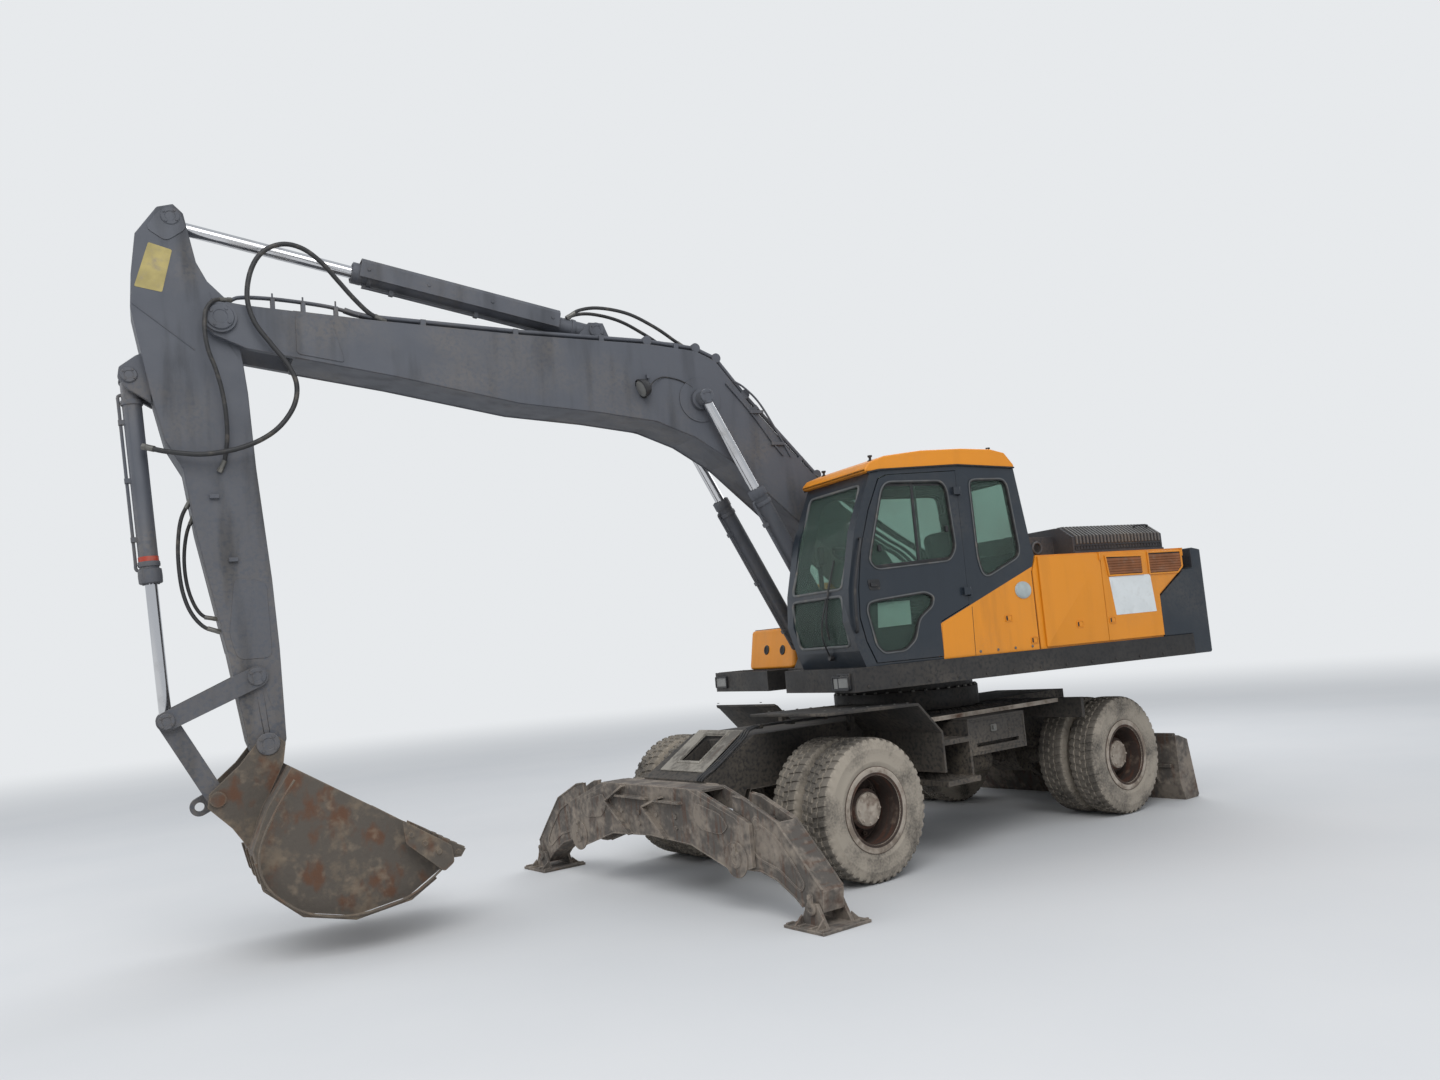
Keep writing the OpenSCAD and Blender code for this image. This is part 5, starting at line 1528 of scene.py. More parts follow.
    def pipes(self, shop: Shop) -> None:
        """Makes the pipes that run forward along the boom's top, and their clamps."""
        runs, clamps = Form(), Form()
        for y, r in ((0.190, 0.016), (-0.190, 0.016), (0.140, 0.012), (-0.140, 0.012)):
            path = [(2.340, y, 4.279), (3.400, y, 4.300), (4.540, y, 4.352), (4.640, y, 4.372),
                    (4.700, y, 4.392)]
            runs.join(tube(np.array(path), r, 12))
            if r < 0.015:
                start = [(0.845, y, 3.165), (1.486, y, 3.856), (1.732, y, 4.158), (1.917, y, 4.236),
                         (2.345, y, 4.279)]
                runs.join(tube(smooth_path(start, 6), r, 10))
        for x in (1.02, 1.42, 2.10, 2.75, 3.45, 4.15):
            z = float(self.top(x))
            slope = math.degrees(math.atan2(float(self.top(x + 0.05)) - z, 0.05))
            for side in (1.0, -1.0):
                block = brick((-0.020, 0.116, -0.004), (0.020, 0.216, 0.052))
                if side < 0:
                    block = block.mirrored()
                clamps.join(block.turned(1, -slope).moved(x, 0.0, z))
                bolt = disc(0.010, 0.0, 0.010, 12, 0.002).turned(0, 90).moved(0.0, 0.165 * side, 0.051)
                clamps.join(bolt.turned(1, -slope).moved(x, 0.0, z))
        for y, r in ((0.060, 0.014), (0.100, 0.011), (-0.060, 0.014), (-0.100, 0.011)):
            rise = 0.030 if r > 0.012 else 0.0
            knee = [(0.860, y, 3.165), (1.050, y, 3.385 + rise), (1.300, y, 3.680 + rise),
                    (1.520, y, 3.940 + rise), (1.690, y, 4.140 + rise), (1.850, y, 4.235 + rise),
                    (2.060, y, 4.275 + rise), (2.350, y, 4.283 + 0.5 * rise), (2.620, y, 4.262)]
            runs.join(tube(smooth_path(knee, 6), r, 10))
        shop.piece("boom_top_pipes", runs, "boom", "boom_grey")
        shop.piece("boom_top_clamps", clamps, "boom", "boom_grey", bevel=0.003)
        ends = Form()
        for y in (0.208, 0.182):
            points = [(4.60, y, 4.352), (4.700, y, 4.380), (4.82, y, 4.405), (5.030, y, 4.426),
                      (5.230, y, 4.436), (5.390, y, 4.430), (5.450, y, 4.404)]
            ends.join(tube(smooth_path(points, 5), 0.010, 10))
        for x in (4.76, 4.98, 5.18):
            z = float(self.top(x))
            ends.join(brick((x - 0.014, 0.168, z - 0.004), (x + 0.014, 0.222, z + 0.075)),
                      disc(0.006, 0.0, 0.050, 12, 0.001).turned(0, 90).moved(x, 0.195, z + 0.070))
        shop.piece("boom_end_pipes", ends.join(ends.mirrored()), "boom", "boom_grey", bevel=0.002)

    def side_pipes(self, shop: Shop) -> None:
        """Makes the small pipes on the boom's left side beside the cylinder's eye."""
        made = Form()
        for points in ([(1.603, 0.240, 3.960), (1.500, 0.240, 3.900), (1.362, 0.240, 3.760),
                        (1.182, 0.240, 3.450), (1.113, 0.240, 3.320)],
                       [(1.679, 0.240, 3.940), (1.468, 0.240, 3.700), (1.281, 0.240, 3.445),
                        (1.189, 0.240, 3.330)]):
            made.join(tube(smooth_path(points, 6), 0.009, 10))
        for x, z in ((1.40, 3.70), (1.22, 3.43)):
            made.join(brick((x - 0.050, 0.2295, z - 0.014), (x + 0.075, 0.254, z + 0.014)))
        shop.piece("boom_side_pipes", made, "boom", "boom_grey", bevel=0.002)

    def lamp(self, shop: Shop) -> None:
        """Makes the work lamp on the boom's left side, with its bracket and wire."""
        bowl = lathe([(0.0, -0.060), (0.040, -0.058), (0.066, -0.035), (0.078, 0.0), (0.082, 0.018),
                      (0.076, 0.022), (0.070, 0.012), (0.0, 0.010)], 36)
        lens = lathe([(0.0, 0.012), (0.069, 0.012), (0.066, 0.020), (0.040, 0.027), (0.0, 0.030)], 36)
        spot = (2.459, 0.292, 3.860)
        tilt = 24.0
        shop.piece("boom_lamp_bowl", bowl.turned(2, -90).turned(1, tilt).moved(*spot), "boom", "black_plastic")
        shop.piece("boom_lamp_lens", lens.turned(2, -90).turned(1, tilt).moved(*spot), "boom", "lamp_dull")
        bracket = plate_xz([(2.36, 3.82), (2.46, 3.83), (2.46, 3.90), (2.36, 3.91)], 0.2295, 0.236)
        bracket.join(brick((2.395, 0.235, 3.845), (2.435, 0.268, 3.875)),
                     brick((2.382, 0.2295, 3.950), (2.402, 0.262, 3.985)))
        shop.piece("boom_lamp_bracket", bracket, "boom", "boom_grey", bevel=0.002)
        wire = smooth_path([(2.400, 0.285, 3.865), (2.340, 0.262, 3.930), (2.240, 0.238, 3.972),
                            (2.100, 0.236, 3.950), (2.000, 0.236, 3.900), (1.985, 0.234, 3.860)])
        shop.piece("boom_lamp_wire", tube(wire, 0.005, 8), "boom", "hose_rubber")

    def cylinders(self, shop: Shop) -> None:
        """Makes the glands with their bolts, the feed pipes, the red band and the collar of the cylinders."""
        for name, start, end, length, r, ys in (
            ("boom_barrels", self.boom_base, self.boom_eye, 1.590, 0.066, (0.322, -0.322)),
            ("arm_barrel", self.arm_base, self.arm_eye, 1.890, 0.072, (0.0,)),
            ("bucket_barrel", self.bucket_base, self.rod_eye, 1.390, 0.060, (0.0,)),
        ):
            glands, feeds = Form(), Form()
            for y in ys:
                heads = hex_heads(spots(10, r - 0.012), 0.008, 0.0, 0.008)
                heads = heads.turned(2, -90).moved(length - 0.001, 0.0, 0.0)
                hug = lathe([(r - 0.001, -0.018), (r + 0.007, -0.016), (r + 0.009, 0.0), (r + 0.007, 0.016),
                             (r - 0.001, 0.018)], 40).turned(2, -90)
                glands.join(along(heads, start, end, y))
                for s in (0.17, length - 0.13):
                    glands.join(along(hug.moved(s, 0.0, 0.0), start, end, y))
                side = 1.0 if name == "bucket_barrel" else -1.0
                h = side * (r + 0.019)
                line = smooth_path([(0.110, 0.0, side * (r - 0.010)), (0.125, 0.0, h), (0.180, 0.0, h),
                                    (0.60, 0.0, h), (length - 0.20, 0.0, h), (length - 0.105, 0.0, h),
                                    (length - 0.090, 0.0, side * (r - 0.010))], 6)
                feeds.join(along(tube(line, 0.011, 10), start, end, y))
                for s in (0.30, 0.5 * length, length - 0.30):
                    low, high = sorted((side * (r - 0.006), side * (r + 0.033)))
                    feeds.join(along(brick((s - 0.016, -0.020, low), (s + 0.016, 0.020, high)), start, end, y))
            shop.piece(f"{name}_glands", glands, name, "boom_grey", bevel=0.001)
            shop.piece(f"{name}_feeds", feeds, name, "boom_grey", bevel=0.002)
        band = lathe([(0.0605, -0.030), (0.0625, -0.029), (0.0625, 0.029), (0.0605, 0.030)], 44).turned(2, -90)
        at = math.dist(self.bucket_base, (5.99, 2.65))
        band = along(band.moved(at, 0.0, 0.0), self.bucket_base, self.rod_eye)
        shop.piece("red_band", band, "bucket_barrel", "red_band")
        hug = lathe([(0.060, -0.05), (0.072, -0.045), (0.074, 0.0), (0.072, 0.045), (0.060, 0.05)],
                    44).turned(2, -90)
        collar = along(hug.moved(at + 0.10, 0.0, 0.0), self.bucket_base, self.rod_eye)
        shop.piece("bucket_cylinder_collar", collar, "bucket_barrel", "boom_grey", bevel=0.001)

    def guard(self, shop: Shop) -> None:
        """Makes the folded guard over the arm cylinder: a straight channel with bevelled top corners."""
        w, t = 0.098, 0.006
        section = [(-w, -0.045), (-w, 0.070), (-0.070, 0.102), (0.070, 0.102), (w, 0.070), (w, -0.045),
                   (w - t, -0.045), (w - t, 0.067), (0.067, 0.096), (-0.067, 0.096), (-w + t, 0.067),
                   (-w + t, -0.045)]
        channel = along(plate_yz(section, 0.30, 1.840), self.arm_base, self.arm_eye)
        shop.piece("arm_cylinder_guard", channel, "arm_barrel", "boom_grey", bevel=0.002)
        bolts = Form()
        for s in (0.36, 0.85, 1.34, 1.78):
            for y in (0.100, -0.105):
                bolts.join(disc(0.013, 0.0, 0.006, 12, 0.002).moved(s, y - 0.001, 0.020))
        shop.piece("guard_bolts", along(bolts, self.arm_base, self.arm_eye), "arm_barrel", "boom_grey")

    def arm_marks(self, shop: Shop) -> None:
        """Makes the blank yellow plates on the arm's head, and the clamps below them."""
        plate = plate_xz(rounded([(5.939, 4.785), (5.796, 4.743), (5.866, 4.444), (6.032, 4.474)], 0.012),
                         0.1702, 0.172)
        shop.piece("arm_blank_plate", plate, "arm", "plate_yellow", smooth=False)
        shop.piece("arm_blank_plate_right", plate.mirrored(), "arm", "plate_yellow", smooth=False)
        stops = Form()
        for x, z in ((5.60, 3.05), (5.50, 2.62)):
            stops.join(brick((x - 0.03, 0.1695, z - 0.014), (x + 0.03, 0.196, z + 0.014)))
        shop.piece("arm_clamps", stops, "arm", "boom_grey", bevel=0.003)

    def hoses(self, shop: Shop) -> None:
        """Makes the hoses at the elbow, on the arm and at the boom's foot, and the valve block there."""
        elbow = ((5.150, 0.0, 4.560), (5.420, 0.0, 3.560))
        shop.hose("hose_arm_outer", [
            (4.420, 0.185, 4.322), (4.530, 0.205, 4.372), (4.640, 0.232, 4.468), (4.745, 0.250, 4.585),
            (4.850, 0.268, 4.700), (4.975, 0.285, 4.785), (5.110, 0.297, 4.800), (5.240, 0.300, 4.730),
            (5.320, 0.300, 4.590), (5.350, 0.300, 4.400), (5.310, 0.300, 4.230), (5.210, 0.300, 4.080),
            (5.110, 0.300, 3.940), (5.060, 0.300, 3.800), (5.090, 0.300, 3.640), (5.210, 0.300, 3.480),
            (5.400, 0.295, 3.370), (5.640, 0.275, 3.320), (5.860, 0.215, 3.345), (6.010, 0.110, 3.400)],
            0.017, "boom", "arm", elbow)
        shop.hose("hose_arm_inner", [
            (5.450, 0.208, 4.404), (5.500, 0.230, 4.395), (5.560, 0.262, 4.375), (5.608, 0.285, 4.300),
            (5.622, 0.292, 4.170), (5.606, 0.290, 4.030), (5.565, 0.282, 3.900), (5.530, 0.270, 3.750),
            (5.510, 0.250, 3.580), (5.510, 0.222, 3.420), (5.530, 0.195, 3.290), (5.560, 0.180, 3.220)],
            0.014, "boom", "arm", elbow)
        for k in (0, 1):
            aft = 0.045 * k
            shop.hose(f"hose_arm_right_{k}", [
                (5.450 - aft, -0.212, 4.404), (5.500 - aft, -0.232, 4.395), (5.560 - aft, -0.264, 4.375),
                (5.608 - aft, -0.287, 4.300), (5.622 - aft, -0.294, 4.170), (5.606 - aft, -0.292, 4.030),
                (5.565 - aft, -0.284, 3.900), (5.530 - aft, -0.270, 3.750), (5.505 - aft, -0.245, 3.580),
                (5.500 - aft, -0.215, 3.460), (5.510 - aft, -0.190, 3.390)], 0.015, "boom", "arm", elbow)
        shop.hose("hose_bucket_a", [
            (5.735, 0.070, 3.060), (5.800, 0.055, 2.930), (5.826, 0.045, 2.770), (5.828, 0.042, 2.600),
            (5.810, 0.040, 2.430), (5.765, 0.040, 2.290), (5.690, 0.040, 2.190), (5.595, 0.040, 2.150)],
            0.013, "arm")
        shop.hose("hose_bucket_b", [
            (5.720, 0.020, 2.960), (5.768, 0.000, 2.840), (5.790, -0.015, 2.700), (5.790, -0.020, 2.560),
            (5.770, -0.020, 2.430), (5.730, -0.020, 2.320), (5.680, -0.015, 2.260), (5.605, -0.010, 2.240)],
            0.012, "arm")
        for side, sign in SIDES:
            shop.hose(f"hose_arm_cylinder_{side}", [
                (1.960, 0.100 * sign, 4.266), (2.050, 0.104 * sign, 4.320), (2.220, 0.106 * sign, 4.425),
                (2.450, 0.098 * sign, 4.530), (2.690, 0.082 * sign, 4.568), (2.860, 0.066 * sign, 4.545),
                (2.965, 0.052 * sign, 4.480)],
                0.014, "boom", "arm_barrel", ((2.00, 0.0, 4.30), (2.86, 0.0, 4.45)))
        foot = ((-0.20, 0.0, 2.10), (0.42, 0.0, 2.75))
        for y, r, lift in ((0.190, 0.019, 0.0), (0.135, 0.016, 0.02), (0.065, 0.016, 0.04),
                           (-0.065, 0.016, 0.04), (-0.135, 0.016, 0.02), (-0.190, 0.019, 0.0)):
            name = f"hose_foot_{'left' if y > 0 else 'right'}_{abs(int(1000 * y))}"
            shop.hose(name, [
                (-0.375, y, 1.535), (-0.390, y, 1.720), (-0.410, y, 1.920), (-0.415, y, 2.100),
                (-0.365, y, 2.300 + lift), (-0.230, y, 2.450 + lift),
                (-0.040, y, 2.560 + lift), (0.170, y, 2.690 + lift), (0.390, y, 2.840 + lift),
                (0.600, y, 2.985 + lift), (0.760, y, 3.095), (0.860, y, 3.160)], r, "upper", "boom", foot)
        block = brick((-0.76, -0.24, 1.516), (-0.52, 0.24, 1.900))
        block.join(brick((-0.72, -0.20, 1.895), (-0.55, 0.20, 1.935)),
                   brick((-0.80, -0.16, 1.60), (-0.74, 0.16, 1.80)))
        for y in (-0.16, -0.05, 0.06, 0.17):
            block.join(disc(0.030, 0.0, 0.055, 20, 0.004).turned(2, -90).moved(-0.521, y, 1.72))
            block.join(disc(0.024, 0.0, 0.040, 20, 0.004).turned(2, -90).moved(-0.521, y, 1.63))
        shop.piece("valve_block", block, "upper", "grey_plastic", bevel=0.006)
        for side, y in (("left", 0.322), ("right", -0.322)):
            shop.hose(f"hose_boom_cylinder_{side}", [
                (0.660, y * 0.86, 1.560), (0.650, y * 0.84, 1.680), (0.680, y * 0.86, 1.800),
                (0.760, y * 0.92, 1.880), (0.850, y, 1.905)],
                0.014, "upper", "boom_barrels", ((0.66, 0.0, 1.62), (0.85, 0.0, 1.90)))


# Bucket


@dataclass
class Bucket:
    """Wear parts of the bucket, in a frame whose X runs from the arm's tip pin to the teeth."""

    angle: float = 145.0
    pin: tuple[float, float] = (5.340, 1.380)
    half: float = 0.600
    wall: float = 0.025

    def placed(self, form: Form) -> Form:
        """Takes a form from the bucket's frame to the upper frame."""
        return form.turned(1, self.angle).moved(self.pin[0], 0.0, self.pin[1])

    def build(self, shop: Shop) -> None:
        """Makes the tooth adapters, the side cutters, the wear strips and the weld beads."""
        adapters = Form()
        for y in np.linspace(-self.half + 0.075, self.half - 0.075, 5):
            adapters.join(plate_xz([(1.25, 0.006), (1.40, -0.004), (1.43, 0.000), (1.43, 0.058), (1.38, 0.092),
                                    (1.27, 0.092)], y - 0.058, y + 0.058))
            adapters.join(disc(0.016, y - 0.066, y + 0.066, 16, 0.002).moved(1.395, 0.0, 0.040))
        shop.piece("tooth_adapters", self.placed(adapters), "bucket", "bucket_steel", bevel=0.008)
        cutters = plate_xz(rounded([(0.95, 0.030), (1.325, 0.022), (1.400, 0.108), (1.372, 0.190),
                                    (1.05, 0.150)], 0.02),
                           self.half - 0.001, self.half + 0.016)
        heads = np.array([(1.05, 0.085), (1.16, 0.090), (1.27, 0.095)])
        cutters.join(hex_heads(heads, 0.020, self.half + 0.014, self.half + 0.026))
        shop.piece("side_cutters", self.placed(cutters.join(cutters.mirrored())), "bucket", "bucket_steel",
                   bevel=0.003)
        skin = np.array([(1.345, 0.245), (1.270, 0.430), (1.020, 0.680), (0.720, 0.800), (0.430, 0.770),
                         (0.300, 0.655)])
        out = np.array([(0.93, 0.37), (0.85, 0.52), (0.55, 0.83), (0.13, 0.99), (-0.38, 0.92), (-0.72, 0.69)])
        strips = Form()
        for y in (-0.555, -0.20, 0.20, 0.555):
            outline = [tuple(p) for p in skin - 0.002 * out] + [tuple(p) for p in (skin + 0.014 * out)[::-1]]
            strips.join(plate_xz(outline, y - 0.030, y + 0.030))
        shop.piece("wear_strips", self.placed(strips), "bucket", "bucket_steel", bevel=0.003)
        seam = np.array([(0.22, 0.12), (0.225, 0.350), (0.280, 0.600), (0.440, 0.752), (0.720, 0.782),
                         (1.005, 0.664), (1.252, 0.420), (1.375, 0.112)])
        beads = Form()
        for y in (-self.half - 0.002, self.half + 0.002):
            beads.join(tube(smooth_path([(x, y, z) for x, z in seam], 5), 0.008, 6))
        shop.piece("bucket_welds", self.placed(beads), "bucket", "bucket_steel")


# Chassis


@dataclass
class Chassis:
    """Fittings of the frame, the axles, the outriggers, the blade and the boxes between the wheels."""

    beam_face: float = 2.830
    beam_back: float = 2.590
    beam_x: float = 2.705
    leg_half: float = 0.085
    leg_pivot: tuple[float, float] = (1.040, 0.350)
    leg_horn: tuple[float, float] = (1.230, 0.595)
    pad_pivot: tuple[float, float] = (1.745, 0.118)
    axle_z: float = 0.512
    front_x: float = 1.700
    rear_x: float = -1.400

    def build(self, shop: Shop) -> None:
        """Makes the pieces."""
        self.pins(shop)
        self.beam(shop)
        self.legs(shop)
        self.blade(shop)
        self.frame_parts(shop)
        self.driveline(shop)
        for name, sign, fender in (("left", 1.0, 2.110), ("right", -1.0, 1.200)):
            self.side_boxes(shop, name, sign, fender)

    def sided(self, form: Form, sign: float) -> Form:
        """The form itself for the left side, or its mirror image for the right."""
        return form if sign > 0 else form.mirrored()

    def cap_x(self, y: float, z: float, r: float, x: float) -> Form:
        """A pin's end cap on a face that looks along +X, with a keeper plate and its bolt."""
        cap = lathe([(0.0, 0.0), (r, 0.0), (r, 0.012), (r - 0.006, 0.017), (0.5 * r, 0.017), (0.45 * r, 0.012),
                     (0.0, 0.012)], 36)
        keeper = plate_xz(rounded(corners(-0.016, 0.4 * r, 0.016, r + 0.05), 0.01), 0.0, 0.020)
        cap.join(keeper, disc(0.012, 0.018, 0.028, 6, 0.002).moved(0.0, 0.0, r + 0.032))
        return cap.turned(2, -90).moved(x, y, z)

    def pins(self, shop: Shop) -> None:
        """Makes the caps of the outriggers' pins."""
        for side, sign in SIDES:
            y, z = self.leg_pivot
            cap = self.cap_x(y, z, 0.058, self.beam_face + 0.002)
            shop.piece(f"leg_pin_cap_{side}", self.sided(cap, sign), "chassis", "muddy_steel", bevel=0.001)
            y, z = self.pad_pivot
            cap = self.cap_x(y, z, 0.040, self.beam_x + self.leg_half + 0.030)
            shop.piece(f"pad_pin_cap_{side}", self.sided(cap, sign), f"pad_{side}", "muddy_steel", bevel=0.001)
            y, z = self.leg_horn
            horn = disc(0.046, 0.0, 0.004, 32, 0.001).join(disc(0.026, 0.003, 0.007, 24, 0.001))
            horn = horn.turned(2, -90).moved(self.beam_x + self.leg_half - 0.0005, y, z)
            shop.piece(f"leg_horn_cap_{side}", self.sided(horn, sign), f"leg_{side}", "muddy_steel",
                       bevel=0.001)

    def beam(self, shop: Shop) -> None:
        """Makes the weld beads, doubler plates and bolts of the outrigger beam."""
        ring = band_xz(spots(36, 0.120), spots(36, 0.056), 0.0, 0.010).turned(2, -90)
        rings = Form().join(ring.moved(self.beam_face - 0.0005, *self.leg_pivot))
        outline = [(0.62, 0.700), (0.90, 0.640), (0.98, 0.560), (0.90, 0.500), (0.66, 0.520), (0.58, 0.610)]
        plate = plate_yz(rounded(outline, 0.04), self.beam_face - 0.0005, self.beam_face + 0.008)
        rings.join(plate)
        rings.join(rings.mirrored())
        shop.piece("beam_doublers", rings, "chassis", "muddy_steel", bevel=0.002)
        top = np.array([(0.0, 0.785), (0.530, 0.785), (1.050, 0.620), (1.098, 0.590)])
        low = np.array([(1.060, 0.294), (0.980, 0.271), (0.520, 0.405), (0.0, 0.430)])
        beads = Form()
        for line in (top, low):
            for x in (self.beam_face - 0.004, self.beam_back - 0.022):
                beads.join(tube(np.stack([np.full(len(line), x), line[:, 0], line[:, 1]], -1), 0.006, 6))
        beads.join(beads.mirrored())
        shop.piece("beam_welds", beads, "chassis", "muddy_steel")
        heads = Form()
        for y in (-0.36, -0.12, 0.12, 0.36):
            for z in (0.505, 0.585):
                heads.join(disc(0.017, 0.0, 0.014, 6, 0.002).turned(2, -90).moved(self.beam_face - 0.001, y, z))
        shop.piece("beam_bolts", heads, "chassis", "muddy_steel", smooth=False)

    def legs(self, shop: Shop) -> None:
        """Makes the outriggers' edge flanges and side webs, their pads' gussets, and their cylinders' pipes."""
        end = 1.200
        top = np.array([(-0.195, 0.757), (-0.090, 0.745), (0.240, 0.615), (0.460, 0.400), (0.622, 0.235)])
        low = np.array([(0.430, 0.112), (0.370, 0.160), (0.200, 0.250), (0.040, 0.290), (-0.090, 0.286)])
        web = [(0.02, 0.615), (0.215, 0.535), (0.390, 0.365), (0.475, 0.250), (0.425, 0.190), (0.230, 0.310),
               (0.055, 0.352), (-0.035, 0.400)]
        for side, sign in SIDES:
            parts = Form()
            for line in (top, low):
                for x in (self.beam_x - self.leg_half, self.beam_x + self.leg_half):
                    rows = np.stack([np.full(len(line), x), line[:, 0] + end, line[:, 1]], -1)
                    parts.join(tube(rows, 0.008, 6))
            outline = np.array(rounded([(y + end, z) for y, z in web], 0.04))
            face = self.beam_x + self.leg_half
            parts.join(swapped(frame_xz(outline, 0.016, face - 0.0005, face + 0.006), 0, 1))
            shop.piece(f"leg_flanges_{side}", self.sided(parts, sign), f"leg_{side}", "muddy_steel",
                       bevel=0.001)
            grips = Form()
            y0, x = self.pad_pivot[0], self.beam_x
            for dy in (-0.165, -0.055, 0.055, 0.165):
                for x0, x1 in ((x - 0.19, x - 0.13), (x + 0.13, x + 0.19)):
                    grips.join(brick((x0, y0 + dy - 0.008, 0.0195), (x1, y0 + dy + 0.008, 0.030)))
            for dy in (-0.10, 0.10):
                for s in (-1.0, 1.0):
                    inner, outer = x + s * 0.116, x + s * 0.180
                    rib = [(inner, 0.0195), (outer, 0.0195), (inner, 0.075)]
                    grips.join(plate_xz(rib, y0 + dy - 0.007, y0 + dy + 0.007))
            shop.piece(f"pad_gussets_{side}", self.sided(grips, sign), f"pad_{side}", "muddy_steel",
                       bevel=0.002)
            hose = [(2.640, 0.140, 0.735), (2.632, 0.230, 0.752), (2.628, 0.350, 0.748), (2.632, 0.470, 0.735),
                    (2.650, 0.560, 0.712), (2.665, 0.600, 0.700)]
            line = tube(smooth_path(hose), 0.010, 10)
            shop.piece(f"leg_cylinder_pipe_{side}", self.sided(line, sign), "chassis", "hose_rubber")

    def blade(self, shop: Shop) -> None:
        """Makes the blade's cutting edge with its bolts, its edge tube and the ribs on its back."""
        edge = plate_xz([(-2.432, 0.002), (-2.418, 0.002), (-2.404, 0.150), (-2.420, 0.152)], -1.235, 1.235)
        t = np.linspace(-1.15, 1.15, 12)
        bolts = Form()
        for y in t:
            bolts.join(disc(0.017, -0.006, 0.006, 12, 0.002).turned(2, 90).turned(1, 6).moved(-2.424, y, 0.080))
        shop.piece("blade_edge", edge, "blade", "bucket_steel", bevel=0.002)
        shop.piece("blade_edge_bolts", bolts, "blade", "zinc")
        ribs = Form()
        for y in (-1.05, -0.62, -0.36, 0.36, 0.62, 1.05):
            outline = [(-2.151, 0.160), (-2.115, 0.190), (-2.115, 0.500), (-2.151, 0.575)]
            ribs.join(plate_xz(outline, y - 0.010, y + 0.010))
        ribs.join(brick((-2.151, -1.20, 0.300), (-2.128, 1.20, 0.330)))
        shop.piece("blade_ribs", ribs, "blade", "muddy_steel", bevel=0.002)
        rim = tube(np.array([(-2.180, -1.24, 0.588), (-2.180, 0.0, 0.588), (-2.180, 1.24, 0.588)]), 0.022, 14)
        shop.piece("blade_top_tube", rim, "blade", "muddy_steel")

    def frame_parts(self, shop: Shop) -> None:
        """Makes the pocket's rim, the hydraulic lines, the weld beads and the air tanks of the frame."""
        outer = np.array(corners(2.100, -0.285, 2.500, 0.285))
        inner = np.array(corners(2.150, -0.130, 2.420, 0.130))
        rim = swapped(band_xz(drawn_in(outer, 0.0), drawn_in(inner, 0.0), -0.001, 0.008), 1, 2)
        ledge = swapped(frame_xz(inner, 0.0, 0.004, 0.020, 0.018), 1, 2)
        rim.join(ledge)
        rim.points[:, 2] += np.interp(rim.points[:, 0], [2.080, 2.560], [1.120, 0.810])
        shop.piece("pocket_rim", rim, "chassis", "dusty_steel", bevel=0.002)
        runs, clamps = Form(), Form()
        for y in (0.345, 0.375, 0.405):
            line = [(0.690, y - 0.12, 1.132), (0.900, y, 1.134), (1.500, y, 1.134), (2.060, y, 1.134),
                    (2.200, y, 1.054), (2.440, y, 0.902), (2.560, y - 0.02, 0.832), (2.590, y - 0.03, 0.800)]
            runs.join(tube(smooth_path(line, 6), 0.009, 10))
        for x in (1.00, 1.35, 1.70, 2.02):
            clamps.join(brick((x - 0.016, 0.330, 1.118), (x + 0.016, 0.420, 1.150)))
        shop.piece("frame_pipes", runs, "chassis", "hose_rubber")
        shop.piece("frame_pipe_clamps", clamps, "chassis", "chassis_black", bevel=0.003)
        beads = Form()
        for y in (-0.4495, 0.4495):
            line = np.array([(-1.75, y, 0.692), (-1.0, y, 0.692), (-0.9, y, 0.642), (1.15, y, 0.642),
                             (1.25, y, 0.692), (2.20, y, 0.692), (2.33, y, 0.432)])
            beads.join(tube(line, 0.006, 6))
        shop.piece("frame_welds", beads, "chassis", "chassis_black")
        tank = lathe([(0.0, -0.34), (0.075, -0.34), (0.095, -0.32), (0.100, -0.30), (0.100, 0.30),
                      (0.095, 0.32), (0.075, 0.34), (0.0, 0.34)], 40).turned(2, 90)
        straps = Form()
        for x in (-0.22, 0.22):
            straps.join(lathe(corners(0.0995, -0.018, 0.104, 0.018), 40).turned(2, 90).moved(x, 0.0, 0.0))
        tanks = Form()
        for y in (-0.26, 0.26):
            tanks.join(tank.moved(-0.35, y, 0.545), straps.moved(-0.35, y, 0.545))
        shop.piece("air_tanks", tanks, "chassis", "chassis_black")

